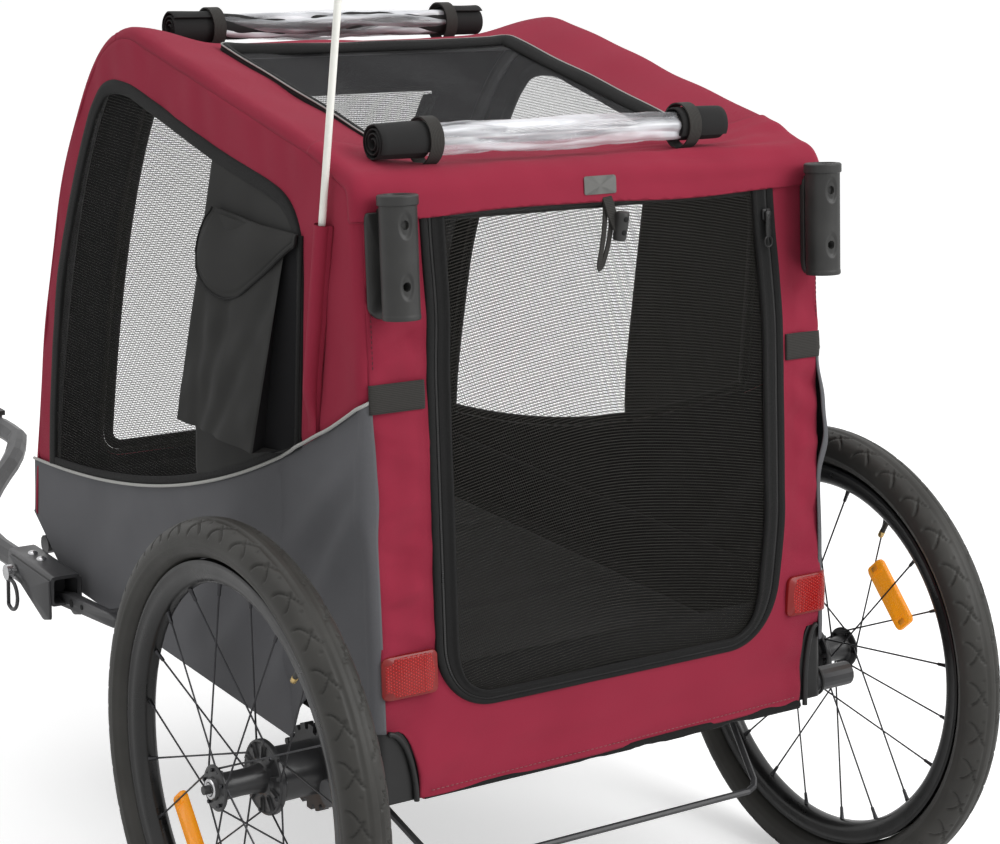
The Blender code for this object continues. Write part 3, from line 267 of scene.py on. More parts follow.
def gridPart(points, wrapRows=False, wrapCols=False, mat=0, flip=False, uv=None):
    # four-sided faces of a grid, and for each corner the distance run over and down it in metres
    rows, cols = points.shape[:2]
    full = points
    if wrapRows:
        full = np.concatenate([full, full[:1]], 0)
    if wrapCols:
        full = np.concatenate([full, full[:, :1]], 1)
    if uv is None:
        uv = np.stack([lengths(full, 1), lengths(full, 0)], -1)
    i, j = np.meshgrid(np.arange(full.shape[0] - 1), np.arange(full.shape[1] - 1), indexing="ij")
    corners = [(0, 0), (0, 1), (1, 1), (1, 0)]
    if flip:
        corners.reverse()
    faces = np.stack([((i + a) % rows) * cols + (j + b) % cols for a, b in corners], -1)
    return (points.reshape(-1, 3), faces.reshape(-1, 4),
            np.stack([uv[i + a, j + b] for a, b in corners], -2).reshape(-1, 2), mat)


def makePiece(name, grids, finishes, body, replaces=(), closed=False, shell=0.0, lining=None,
              sharp=None):
    # one mesh from grids of points; a closed one is welded and its faces are turned outwards
    verts, faces, uvs, mats, start = [], [], [], [], 0
    for grid in grids:
        p, f, uv, mat = gridPart(**grid)
        verts.append(p)
        faces.append(f + start)
        uvs.append(uv)
        mats.append(np.full(len(f), mat))
        start += len(p)
    verts, faces = np.concatenate(verts), np.concatenate(faces)
    verts = verts + np.array([0, axleY, 0])
    mesh = bpy.data.meshes.new(name)
    mesh.vertices.add(len(verts))
    mesh.vertices.foreach_set("co", verts.astype(np.float32).ravel())
    mesh.loops.add(faces.size)
    mesh.loops.foreach_set("vertex_index", faces.astype(np.int32).ravel())
    mesh.polygons.add(len(faces))
    mesh.polygons.foreach_set("loop_start", np.arange(0, faces.size, 4, dtype=np.int32))
    mesh.polygons.foreach_set("material_index", np.concatenate(mats).astype(np.int32))
    mesh.uv_layers.new(name="UVMap").data.foreach_set("uv", np.concatenate(uvs).astype(np.float32).ravel())
    mesh.update(calc_edges=True)
    for finish in finishes:
        mesh.materials.append(finish)
    work = bmesh.new()
    work.from_mesh(mesh)
    bmesh.ops.remove_doubles(work, verts=work.verts, dist=2e-6)
    bmesh.ops.dissolve_degenerate(work, edges=work.edges, dist=1e-7)
    if closed:
        bmesh.ops.recalc_face_normals(work, faces=work.faces)
    work.to_mesh(mesh)
    work.free()
    mesh.shade_smooth()
    if sharp:
        mesh.set_sharp_from_angle(angle=math.radians(sharp))
    piece = addToScene(name, mesh)
    if shell:
        wall = piece.modifiers.new("thickness", "SOLIDIFY")
        wall.thickness = shell
        wall.offset = -1.0
        if lining is not None:
            mesh.materials.append(lining)
            wall.material_offset = len(finishes)
    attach(piece, body)
    if replaces:
        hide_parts(*replaces)
    return piece


# Finishes

def blankMaterial(name, colour, rough, metal=0.0, specular=0.5, sheen=0.0, coat=0.0):
    mat = bpy.data.materials.new(name)
    mat.use_nodes = True
    shader = mat.node_tree.nodes["Principled BSDF"]
    settings = {"Base Color": (*colour, 1), "Roughness": rough, "Metallic": metal,
                "Specular IOR Level": specular,
                "Sheen Weight": sheen, "Sheen Roughness": 0.5, "Coat Weight": coat, "Coat Roughness": 0.15}
    for key, value in settings.items():
        shader.inputs[key].default_value = value
    return mat, mat.node_tree, shader


def noise(tree, scale, detail=3.0, stretch=(1, 1, 1)):
    # cloudy value on the piece's own coordinates; scale is in lumps per metre
    where = tree.nodes.new("ShaderNodeTexCoord")
    fit = tree.nodes.new("ShaderNodeMapping")
    fit.inputs["Scale"].default_value = stretch
    cloud = tree.nodes.new("ShaderNodeTexNoise")
    cloud.inputs["Scale"].default_value = scale
    cloud.inputs["Detail"].default_value = detail
    cloud.inputs["Roughness"].default_value = 0.55
    tree.links.new(where.outputs["Object"], fit.inputs["Vector"])
    tree.links.new(fit.outputs[0], cloud.inputs["Vector"])
    return cloud.outputs["Fac"]


def tinted(colour, share, more=0.0):
    # a colour made darker or paler, never past white
    return tuple(min(1.0, c * share + more) for c in colour)


def tint(tree, shader, value, dark, pale):
    # colour between two for a value from 0 to 1
    mix = tree.nodes.new("ShaderNodeMix")
    mix.data_type = "RGBA"
    mix.inputs["A"].default_value = (*dark, 1)
    mix.inputs["B"].default_value = (*pale, 1)
    tree.links.new(value, mix.inputs["Factor"])
    tree.links.new(mix.outputs["Result"], shader.inputs["Base Color"])


def gloss(tree, shader, value, low, high):
    tree.links.new(spread(tree, value, low, high), shader.inputs["Roughness"])


def relief(tree, shader, height, depth, strength=1.0):
    # bump from a height from 0 to 1, depth in metres
    bump = tree.nodes.new("ShaderNodeBump")
    bump.inputs["Strength"].default_value = strength
    bump.inputs["Distance"].default_value = depth
    tree.links.new(height, bump.inputs["Height"])
    tree.links.new(bump.outputs[0], shader.inputs["Normal"])


def surfaceUv(tree):
    # the two distances over the cloth, in metres
    uv = tree.nodes.new("ShaderNodeUVMap")
    uv.uv_map = "UVMap"
    parts = tree.nodes.new("ShaderNodeSeparateXYZ")
    tree.links.new(uv.outputs[0], parts.inputs[0])
    return parts.outputs[0], parts.outputs[1]


def wave(tree, value, pitch):
    # 0 to 1 and back over one pitch
    s = calc(tree, "SINE", calc(tree, "MULTIPLY", value, tau / pitch))
    return calc(tree, "MULTIPLY_ADD", s, 0.5, 0.5)


def wovenCloth(name, colour, rough=0.82, pitch=0.0007, vary=0.10, sheen=0.04):
    # plain weave: threads over and under each other, with uneven dye and fine slubs
    mat, tree, shader = blankMaterial(name, colour, rough, specular=0.12, sheen=sheen)
    u, v = surfaceUv(tree)
    threads = calc(tree, "MULTIPLY", wave(tree, u, pitch), wave(tree, v, pitch))
    slubs = noise(tree, 420, 2.0)
    relief(tree, shader, calc(tree, "MULTIPLY_ADD", slubs, 0.5, threads), 0.00012, 0.8)
    tone = calc(tree, "MULTIPLY_ADD", spread(tree, slubs, 0, 1), 0.35,
                spread(tree, noise(tree, 9.0), 0, 0.65))
    tint(tree, shader, tone, tinted(colour, 1 - vary), tinted(colour, 1 + vary))
    gloss(tree, shader, slubs, rough - 0.06, rough + 0.08)
    return mat


def openMesh(name, colour, across, down, hole):
    # net of round cords: a hole where the product of two waves over the cloth is high
    mat, tree, shader = blankMaterial(name, colour, 0.7, specular=0.12)
    u, v = surfaceUv(tree)
    row = calc(tree, "FLOOR", calc(tree, "DIVIDE", v, down))
    shifted = calc(tree, "MULTIPLY_ADD", calc(tree, "MODULO", row, 2.0), across / 2, u)
    a = calc(tree, "ABSOLUTE", calc(tree, "SINE", calc(tree, "MULTIPLY", shifted, math.pi / across)))
    b = calc(tree, "ABSOLUTE", calc(tree, "SINE", calc(tree, "MULTIPLY", v, math.pi / down)))
    both = calc(tree, "MULTIPLY", a, b)
    cord = calc(tree, "SUBTRACT", 1.0, spread(tree, both, 0, 1, hole - 0.06, hole + 0.06))
    tree.links.new(cord, shader.inputs["Alpha"])
    relief(tree, shader, calc(tree, "SUBTRACT", 1.0, both), 0.0003, 0.7)
    # painted highlight: the cords across the net are painted paler than the cords up it
    tint(tree, shader, b, tinted(colour, 2.1), colour)
    gloss(tree, shader, noise(tree, 60), 0.6, 0.8)
    return mat


def webbing(name, colour, rib=0.0016):
    # tape woven with ribs across it
    mat, tree, shader = blankMaterial(name, colour, 0.7, specular=0.12, sheen=0.05)
    u, v = surfaceUv(tree)
    ribs = calc(tree, "MULTIPLY", wave(tree, v, rib), spread(tree, wave(tree, u, rib * 0.8), 0.6, 1, 0, 1))
    fluff = noise(tree, 500, 2.0)
    relief(tree, shader, calc(tree, "MULTIPLY_ADD", fluff, 0.3, ribs), 0.0003, 0.8)
    # painted highlight and shade: the ribs are painted paler on their crests and darker between them
    tint(tree, shader, ribs, tinted(colour, 0.7), tinted(colour, 1.25))
    gloss(tree, shader, fluff, 0.62, 0.80)
    return mat


def moulded(name, colour, rough=0.45, grain=900, worn=0.25, coat=0.0):
    # moulded plastic or powder coat: fine grain, with the sheen a little worn in patches
    mat, tree, shader = blankMaterial(name, colour, rough, specular=0.35, coat=coat)
    fine = noise(tree, grain, 2.0)
    patch = noise(tree, 26, 4.0)
    relief(tree, shader, fine, 0.00008, 0.6)
    pale = tinted(colour, 1 + worn, 0.004)
    tint(tree, shader, spread(tree, patch, 0, 1), colour, pale)
    gloss(tree, shader, patch, rough - 0.08, rough + 0.10)
    return mat


def bareMetal(name, colour, rough):
    # metal with fine turning marks
    mat, tree, shader = blankMaterial(name, colour, rough, metal=1.0)
    marks = noise(tree, 700, 2.0)
    relief(tree, shader, marks, 0.00004, 0.5)
    dark = tinted(colour, 0.82)
    tint(tree, shader, spread(tree, noise(tree, 40), 0, 1), dark, colour)
    gloss(tree, shader, marks, rough - 0.08, rough + 0.12)
    return mat


def tyreRubber(name, colour):
    # matt rubber with a grey bloom and dust in patches
    mat, tree, shader = blankMaterial(name, colour, 0.62, specular=0.30)
    patch, grain = noise(tree, 18, 5.0), noise(tree, 1100, 2.0)
    relief(tree, shader, grain, 0.00008, 0.6)
    pale = tinted(colour, 1.35, 0.006)
    tint(tree, shader, spread(tree, patch, 0, 1), colour, pale)
    gloss(tree, shader, grain, 0.40, 0.58)
    return mat


def reflectorLens(name, colour, deep, pitch=0.0030, glow=0.0):
    # clear skin over a field of tiny prisms, each painted bright in its middle and darker at its edges: painted
    # glints and shade of the light they catch
    mat, tree, shader = blankMaterial(name, colour, 0.28, specular=0.3, coat=0.25)
    u, v = surfaceUv(tree)
    first = calc(tree, "MULTIPLY_ADD", v, 0.577, u)
    second = calc(tree, "MULTIPLY_ADD", v, -0.577, u)
    third = calc(tree, "MULTIPLY", v, 1.155)
    cells = calc(tree, "MULTIPLY", wave(tree, first, pitch),
                 calc(tree, "MULTIPLY", wave(tree, second, pitch), wave(tree, third, pitch)))
    # painted glints and shade: each prism's middle takes the colour, its edges the darker deep one
    tint(tree, shader, spread(tree, cells, 0, 1, 0.02, 0.5), deep, colour)
    relief(tree, shader, cells, 0.0007, 0.7)
    gloss(tree, shader, noise(tree, 200), 0.16, 0.30)
    shader.inputs["Emission Color"].default_value = (*colour, 1)
    shader.inputs["Emission Strength"].default_value = glow  # painted glow: emission that stands in for the light the prisms throw back
    return mat


def clearFilm(name):
    # thin clear foil, a little milky, with soft creases
    mat, tree, shader = blankMaterial(name, (0.84, 0.86, 0.90), 0.14, specular=0.9, coat=0.6)
    crease = noise(tree, 6, 2.0, (1, 11, 11))
    relief(tree, shader, crease, 0.008, 0.7)
    tree.links.new(spread(tree, crease, 0.14, 0.80, 0.42, 0.62), shader.inputs["Alpha"])
    gloss(tree, shader, noise(tree, 150), 0.06, 0.22)
    return mat


burgundyCloth = wovenCloth("burgundyCloth", (0.300, 0.025, 0.052), vary=0.07)
greyCloth = wovenCloth("greyCloth", (0.124, 0.125, 0.133), pitch=0.0009, vary=0.10)
# near-black cloth for the covers' inner faces, also used as painted shade in the pockets' gussets
liningAndShadeCloth = wovenCloth("liningAndShadeCloth", (0.016, 0.016, 0.017), rough=0.9, sheen=0.0)
blackCloth = wovenCloth("blackCloth", (0.024, 0.024, 0.024), pitch=0.0008, vary=0.2)
pocketCloth = wovenCloth("pocketCloth", (0.034, 0.034, 0.033), pitch=0.0010, vary=0.2)
doorNet = openMesh("doorNet", (0.019, 0.018, 0.016), 0.0021, 0.0029, 0.16)
roofNet = openMesh("roofNet", (0.050, 0.050, 0.052), 0.0015, 0.0017, 0.12)
sideNet = openMesh("sideNet", (0.030, 0.029, 0.027), 0.0023, 0.0031, 0.07)
blackTape = webbing("blackTape", (0.014, 0.014, 0.014), rib=0.0011)
strapTape = webbing("strapTape", (0.044, 0.042, 0.039))
zipTeeth = moulded("zipTeeth", (0.016, 0.016, 0.016), 0.32, worn=0.6)
pipingCord = webbing("pipingCord", (0.50, 0.50, 0.48), rib=0.0013)
thread = webbing("thread", (0.10, 0.03, 0.04), rib=0.0006)
paleThread = webbing("paleThread", (0.34, 0.13, 0.14), rib=0.0006)
labelCloth = webbing("labelCloth", (0.22, 0.22, 0.21), rib=0.0007)
rubber = tyreRubber("rubber", (0.030, 0.029, 0.026))
blackRim = moulded("blackRim", (0.006, 0.006, 0.006), 0.30, grain=500, coat=0.2)
hubPlastic = moulded("hubPlastic", (0.020, 0.020, 0.021), 0.36, coat=0.2)
chrome = bareMetal("chrome", (0.62, 0.62, 0.63), 0.2)
spokeSteel = bareMetal("spokeSteel", (0.060, 0.060, 0.064), 0.35)
brass = bareMetal("brass", (0.72, 0.52, 0.22), 0.3)
powderCoat = moulded("powderCoat", (0.040, 0.040, 0.042), 0.38, grain=1400, coat=0.15)
socketPlastic = moulded("socketPlastic", (0.029, 0.029, 0.028), 0.42, grain=1100)
cornerPlastic = moulded("cornerPlastic", (0.012, 0.012, 0.012), 0.45)
# painted shade: near-black finish for discs that stand in for the shade inside holes
paintedHoleShade = moulded("paintedHoleShade", (0.004, 0.004, 0.004), 0.8)
buttonPlastic = moulded("buttonPlastic", (0.030, 0.030, 0.030), 0.4)
redLens = reflectorLens("redLens", (0.60, 0.012, 0.008), (0.26, 0.003, 0.003))
# the orange lenses glow a little: painted glow
orangeLens = reflectorLens("orangeLens", (1.0, 0.40, 0.015), (0.85, 0.24, 0.004), glow=0.30)
redHousing = moulded("redHousing", (0.20, 0.006, 0.005), 0.35, coat=0.2)
foil = clearFilm("foil")
glassFibre = moulded("glassFibre", (0.90, 0.90, 0.84), 0.3, grain=300, worn=0.1, coat=0.3)
flagCloth = wovenCloth("flagCloth", (0.85, 0.17, 0.02), vary=0.08)
floorBoard = wovenCloth("floorBoard", (0.030, 0.030, 0.032), rough=0.9)
matCloth = wovenCloth("matCloth", (0.040, 0.040, 0.042), rough=0.9, pitch=0.0012)
print("finishes are made")


# The cabin's side line, shared by all its covers

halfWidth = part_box("rear_cover")[1].x
cabin = dict(rearFoot=(-0.100, 0.240), rearHead=(-0.030, 0.806), headRound=0.024, roofSlope=0.175,
             roofFront=0.405, frontPullTop=0.125, frontPull=(0.645, 0.690), frontFoot=(0.674, 0.310),
             seamOnRoof=0.004, edgeRound=0.012, edgeRise=0.009, sag=0.0145)
piping = [(0.666, 0.376), (0.400, 0.4145), (0.150, 0.4968), (-0.090, 0.6350)]


def roofHeight(y):
    return cabin["rearHead"][1] + (y - cabin["rearHead"][0]) * cabin["roofSlope"]


def rearY(z):
    (y0, z0), (y1, z1) = cabin["rearFoot"], cabin["rearHead"]
    return y0 + (z - z0) / (z1 - z0) * (y1 - y0)


def pipingHeight(y):
    # cubic through the four places, as a sum of Lagrange terms
    total = 0
    for i, (here, z) in enumerate(piping):
        term = z
        for k, (other, _) in enumerate(piping):
            if k != i:
                term = term * (y - other) / (here - other)
        total = total + term
    return total


def sideLine():
    # straight rear wall, arc round its head, straight roof, then a cubic Bezier down the front
    foot, head = np.array(cabin["rearFoot"]), np.array(cabin["rearHead"])
    wall, roof = unit(head - foot), unit(np.array([1.0, cabin["roofSlope"]]))
    turn = math.acos(wall @ roof)
    reach = cabin["headRound"] * math.tan(turn / 2)
    start = head - wall * reach
    centre = start + np.array([wall[1], -wall[0]]) * cabin["headRound"]
    a = np.linspace(0, turn, 25)[:, None]
    spoke = start - centre
    arc = centre + np.hstack([spoke[0] * np.cos(a) + spoke[1] * np.sin(a),
                              spoke[1] * np.cos(a) - spoke[0] * np.sin(a)])
    front = cabin["roofFront"]
    p = np.array([front, roofHeight(front)])
    q = p + roof * math.hypot(1, cabin["roofSlope"]) * cabin["frontPullTop"]
    r, s = np.array(cabin["frontPull"]), np.array(cabin["frontFoot"])
    t = np.linspace(0, 1, 120)[:, None]
    curve = p * (1 - t) ** 3 + 3 * q * t * (1 - t) ** 2 + 3 * r * t * t * (1 - t) + s * t ** 3
    line = np.vstack([foot, arc, curve])
    return evenly(line, 1400)


edgeEnd = halfWidth + cabin["edgeRound"] * (math.pi / 2 - 1)  # distance across once the skin has turned in
linePoints = sideLine()
lineRun = lengths(linePoints)
lineOut = leftOf(np.gradient(linePoints, axis=0))
headIndex = int(np.argmin(np.abs(linePoints[:, 0] - cabin["rearHead"][0]) + np.abs(linePoints[:, 1] - 0.80)))
wallLength = math.dist(cabin["rearFoot"], cabin["rearHead"])


def lineAt(s):
    # place on the side line and outward direction at a distance along it
    p = np.stack([np.interp(s, lineRun, linePoints[:, k]) for k in (0, 1)], -1)
    n = unit(np.stack([np.interp(s, lineRun, lineOut[:, k]) for k in (0, 1)], -1))
    return p, n


def runAtRearHeight(z):
    low, high = cabin["rearFoot"][1], cabin["rearHead"][1]
    return (np.asarray(z, float) - low) / (high - low) * wallLength


def runAtY(y):
    # on the roof and the upper front, where the line only runs forward
    top = linePoints[headIndex:]
    keep = np.argmax(top[:, 0]) + 1
    return np.interp(y, top[:keep, 0], lineRun[headIndex:headIndex + keep])


def runAtFrontHeight(z):
    top = int(np.argmax(linePoints[:, 1]))
    return np.interp(-np.asarray(z, float), -linePoints[top:, 1], lineRun[top:])


roofStart, roofEnd = runAtY(cabin["seamOnRoof"]), runAtY(0.449)
frontEnd = lineRun[-1]


def edgeRise(s):
    # the roof's side edges stand a little above its middle between the two rolls
    return cabin["edgeRise"] * ramp(s, runAtY(-0.02),
                                    runAtY(0.05)) * (1 - ramp(s, runAtY(0.40), runAtY(0.56)))


def onCabin(x, s, out=0.0):
    # skin at x across and s along the side line; past the side edge it turns in round a quarter circle
    p, n = lineAt(s)
    r = cabin["edgeRound"]
    flat = halfWidth - r
    over = np.clip(np.abs(x) - flat, 0, None)
    angle = np.minimum(over / r, math.pi / 2)
    rest = np.maximum(over - r * math.pi / 2, 0)
    share = np.clip(np.abs(x) / halfWidth, 0, 1)
    lifted = edgeRise(s)
    rise = lifted * share ** 3 - cabin["sag"] * (lifted / cabin["edgeRise"]) * (1 - ramp(share, 0.58, 0.94))
    across = np.sign(x) * (np.minimum(np.abs(x), flat) + (r + out) * np.sin(angle))
    depth = r * (1 - np.cos(angle)) + rest - (out * np.cos(angle)) - rise
    yz = p - n * depth[..., None]
    return np.stack([across, yz[..., 0], yz[..., 1]], -1)


def onSide(side, y, z, out=0.0):
    # side wall at a place seen from the side, side -1 for left; near the rear wall it goes round the corner
    y, z, out = np.broadcast_arrays(y, z, out)
    r = cabin["edgeRound"]
    short = r - (y - rearY(z)) - 0.03 * ramp(z, 0.776, 0.80)
    angle = np.clip(short / r, 0, math.pi / 2)
    x = halfWidth - r + (r + out) * np.cos(angle)
    bent = rearY(z) + r - (r + out) * np.sin(angle)
    return np.stack([side * x, np.where(short > 0, bent, y), z], -1)


def insetLine(s, depth):
    # (y, z) of the side line moved into the cabin, following the raised edge of the roof
    p, n = lineAt(s)
    return p - n * (np.asarray(depth) - edgeRise(s))[..., None]


def roundedLoop(low, high, radii, count):
    # rounded rectangle as four sides, each from the middle of one corner's arc to the next one's
    (x0, y0), (x1, y1) = low, high
    spots = [(x0, y0), (x1, y0), (x1, y1), (x0, y1)]
    inward = [(1, 1), (-1, 1), (-1, -1), (1, -1)]
    arcs = []
    for k, ((x, y), (sx, sy), r) in enumerate(zip(spots, inward, radii)):
        a = math.pi * (1 + k / 2) + np.linspace(0, math.pi / 2, 13)
        arcs.append(np.stack([x + sx * r + r * np.cos(a), y + sy * r + r * np.sin(a)], 1))
    return np.vstack([evenly(np.vstack([arcs[k][6:], arcs[(k + 1) % 4][:7]]),
                             count + 1)[:-1] for k in range(4)])


def sidesLoop(corners, count):
    # closed loop from four polylines that meet at its corners
    return np.vstack([evenly(side, count + 1)[:-1] for side in corners])


# Rear cover, doors and their zips

door = dict(half=halfWidth - 0.067, low=0.317, high=0.775, round=0.062, roundTop=0.012, taper=0.012,
            footShare=0.52)
notch = dict(high=(0.309, 0.326), wide=(0.040, 0.029), foot=(0.240, 0.247), round=0.012)
seamRun = halfWidth - 0.0065
hem = dict(low=0.771, proud=0.0032, rearEnd=0.052)


def doorHalfAt(z):
    # the rear door is a little narrower towards its top
    return door["half"] - door["taper"] * ramp(z, 0.62, 0.79)


def pulled(x, z):
    # the cloth hangs a little to the right round the door: wider on its right, straight up on its left
    near = ramp(np.abs(x), 0.05, 0.19) * (1 - ramp(np.abs(x), 0.212, 0.255))
    return x + near * np.where(x > 0, 0.013 * ramp(z, 0.33, 0.46), -0.013 * ramp(z, 0.66, 0.78))


def onRear(x, z, out=0.0):
    x, z = np.asarray(x, float), np.asarray(z, float)
    return onCabin(pulled(x, z), runAtRearHeight(z), out)


def fabric(x, s, seed, depth, size=0.14):
    return depth * folds(x, s, size, seed)


def makeTape(name, rows, body="cabin", finish=blackTape, around=False):
    # sewn tape or band: a closed section whose grid lines run along it
    makePiece(name, [dict(points=rows, wrapRows=True, wrapCols=around)], [finish], body,
              closed=True)


def makeRearCover():
    # ring of cloth from the door's edge out to the side seams, the roof seam and the hem at the foot
    n, edge = 90, edgeEnd + 0.001
    zs = runAtRearHeight
    low, high = door["low"], door["high"]
    arc = np.linspace(0, math.pi / 2, 12)
    flat = halfWidth - notch["round"]
    cuts = []
    for k in (0, 1):
        tall, wide = notch["high"][k] - notch["foot"][k], notch["wide"][k] - notch["round"]
        cuts.append(np.stack([wide * np.cos(arc) - flat, notch["foot"][k] + tall * np.sin(arc)], 1))
    foot = [(-edge, notch["high"][0]), *cuts[0][::-1], *(cuts[1] * [-1, 1]), (edge, notch["high"][1])]
    foot = np.array([(x, zs(z)) for x, z in foot])
    top = roofStart - 0.0002
    outer = sidesLoop([foot, [foot[-1], (edge, top)], [(edge, top), (-edge, top)], [(-edge, top), foot[0]]],
                      n)
    inner = roundedLoop((-door["half"], low), (door["half"], high),
                        [door["round"], door["round"], door["roundTop"], door["roundTop"]], n)
    inner[:, 0] *= doorHalfAt(inner[:, 1]) / door["half"]
    inner[:, 1] = zs(inner[:, 1])
    share = np.linspace(0, 1, 34)[:, None, None]
    param = inner[None] * (1 - share) + outer[None] * share
    x, s = param[..., 0], param[..., 1]
    out = fabric(x, s, 3, 0.0013) + 0.0009 * np.sin(s * 46 + 6 * np.abs(x)) * ramp(np.abs(x), 0.20, 0.26)
    strip = ramp(np.abs(x), 0.195, 0.225) * (1 - ramp(s, 0.47, 0.52))
    out += 0.0030 * folds(x * 0.6 + s * 0.3, s * 2.4, 0.060, 4) * strip
    for here, tilt in ((0.150, 0.25), (0.185, -0.2), (0.232, 0.15), (0.268, -0.1), (0.330, 0.2),
                       (0.425, -0.3), (0.455, 0.3)):
        slant = tilt * (np.abs(x) - 0.235)
        out -= 0.0018 * np.exp(-((s - here - slant) / 0.0045) ** 2) * strip * (x < 0.0)
        out -= 0.0013 * np.exp(-((s - here - 0.013 + slant) / 0.0050) ** 2) * strip * (x > 0.0)
    out += 0.0022 * folds(x * 0.5, s, 0.05, 5) * (1 - ramp(s, 0.03, 0.09))
    out *= 1 - ramp(share[..., 0], 0.97, 1.0) * 0.6
    out = out + 0.0012 * ramp(1 - share[..., 0], 0.94, 1.0)
    limit = seamRun + (edge - seamRun) * ramp(s, zs(0.776), zs(0.796))
    stretch = (limit - 0.215) / (edge - 0.215)
    x = np.sign(x) * np.where(np.abs(x) > 0.215, 0.215 + (np.abs(x) - 0.215) * stretch, np.abs(x))
    x = pulled(x, np.interp(s, [0, wallLength], [cabin["rearFoot"][1], cabin["rearHead"][1]]))
    grid = dict(points=onCabin(x, s, out), wrapCols=True, flip=True)
    makePiece("rearCover", [grid], [burgundyCloth], "cabin", ["rear_cover"],
              shell=0.0012, lining=liningAndShadeCloth)
    # black binding that shows below the hem at the foot
    xs = np.linspace(-0.222, 0.236, 180)
    zz = np.interp(xs, [-0.23, 0.24], notch["foot"])
    drop = 0.0055 + 0.0040 * folds(xs, xs * 0, 0.07, 8)
    rows = np.stack([onRear(xs, zz + 0.0025, -0.0006), onRear(xs, zz - drop * 0.6, 0.0012),
                     onRear(xs, zz - 0.001 - drop, -0.0010), onRear(xs, zz + 0.0025, -0.0050)])
    makeTape("rearHemBinding", rows)


def doorOutline(inset, count):
    # left, bottom and right edge of the door as one line, moved in by the inset, in (x, z)
    half, low, high = door["half"] - inset, door["low"] + inset, door["high"] - 0.002
    r = max(door["round"] - inset, 0.006)
    a = np.linspace(0, math.pi / 2, 24)
    left = np.stack([-half + r - r * np.cos(a), low + r - r * np.sin(a)], 1)
    line = evenly(np.vstack([[(-half, high)], left, left[::-1] * [-1, 1], [(half, high)]]), count)
    line[:, 0] -= np.sign(line[:, 0]) * door["taper"] * ramp(line[:, 1], 0.62, 0.79)
    foot = 1 - ramp(line[:, 1], low + 0.012, low + 0.055)
    line[:, 1] -= max(inset, 0) * door["footShare"] * foot  # the tapes are narrower along the foot
    return line


def zipBand(insets, lifts, count):
    # strips along the door's edge: one grid line for each inset, standing out by its lift
    return np.stack([onRear(*doorOutline(inset, count).T, lift) for inset, lift in zip(insets, lifts)])


def makeRearDoor():
    # net pane: rows from the bottom to the top, each as wide as the rounded door is there
    z = np.linspace(door["low"] + 0.0085, door["high"] + 0.004, 90)
    half = door["half"] - 0.016 - door["taper"] * ramp(z, 0.62, 0.79)
    r = door["round"] - 0.016
    rise = np.clip(z - z[0], 0, r)
    half = half - (r - np.sqrt(np.maximum(r * r - (r - rise) ** 2, 0)))
    x = half[:, None] * np.linspace(-1, 1, 90)[None]
    zz = np.broadcast_to(z[:, None], x.shape)
    slack = 0.0035 * (1 - (x / door["half"]) ** 2) * np.sin((zz - door["low"]) / 0.462 * math.pi)
    pane = onRear(x, zz, -0.0012 - slack + fabric(x, zz, 21, 0.0012, 0.2))
    makePiece("rearDoorNet", [dict(points=pane, flip=True)], [doorNet], "rear_flap_door",
              ["rear_door"], shell=0.0007)
    # inner half of the zip's tape with a folded binding where the net is sewn in
    n = 420
    insets = [0.0102, 0.0118, 0.0150, 0.0185, 0.0205, 0.0235, 0.0245, 0.0205, 0.0110]
    heights = [0.0012, 0.0015, 0.0013, 0.0013, 0.0026, 0.0024, 0.0002, -0.0018, -0.0012]
    wob = 1 + 0.15 * folds(np.linspace(0, 1.3, n), np.zeros(n), 0.08, 31)
    band = zipBand(insets, [h * wob for h in heights], n)
    makeTape("rearDoorTape", band, "rear_flap_door")
    # outer half, sewn to the burgundy cover
    insets = [-0.0015, -0.0005, 0.0030, 0.0062, 0.0074, 0.0062, 0.0010]
    heights = [0.0004, 0.0026, 0.0024, 0.0018, 0.0008, 0.0000, -0.0004]
    band = zipBand(insets, [h * wob for h in heights], n)
    makeTape("rearZipOuterTape", band)
    # the coil: a low ridge whose teeth stand up one by one
    n = 2600
    run = np.linspace(0, 1, n)
    teeth = 0.55 + 0.45 * np.sin(run * tau * n / 4)
    insets = [0.0076, 0.0078, 0.0084, 0.0089, 0.0094, 0.0100, 0.0102]
    heights = [0.0002, 0.0016, 0.0023 * teeth, 0.0016, 0.0023 * teeth[::-1], 0.0016, 0.0002]
    makeTape("rearZipCoil", zipBand(insets, heights, n), "rear_flap_door", zipTeeth)


def makeTopBand():
    # folded flap over the top of the door: from its hem over the head to the rolled cover
    s = np.concatenate([np.full(3, 0.0), np.linspace(0, 1, 46)])
    start, end = runAtRearHeight(hem["low"]), runAtY(hem["rearEnd"])
    s = start + (end - start) * s
    edge = edgeEnd - 0.001
    x = np.linspace(-edge, edge, 230)
    xx, ss = np.meshgrid(x, s)
    out = np.full(xx.shape, hem["proud"])
    out -= 0.0026 * ramp(ss, start + 0.02, start + 0.06)
    out += 0.0010 * folds(xx, ss * 2, 0.05, 44) * ramp(ss, start, start + 0.02)
    pull = np.exp(-((xx - 0.11) / 0.10) ** 2)
    out += 0.0016 * pull * np.sin(ss * 260 + xx * 9) * ramp(ss, start + 0.004, start + 0.03)
    out[0], out[1] = -0.0004, hem["proud"] * 0.45
    out[2] += 0.0006
    out *= 1 - 0.7 * ramp(np.abs(xx), edge - 0.008, edge)
    points = onCabin(xx, ss, out)
    dip = 0.0012 * folds(xx, xx * 0, 0.16, 45) + 0.0018 * np.sin(xx * 17)
    points[..., 2] -= dip * (1 - ramp(ss, start, start + 0.03))
    makePiece("rearTopBand", [dict(points=points, flip=True)], [burgundyCloth], "cabin",
              shell=0.0010, lining=burgundyCloth)


makeRearCover()
makeRearDoor()
makeTopBand()
print("rear cover and door are made")


# Side covers, side windows and grey panels

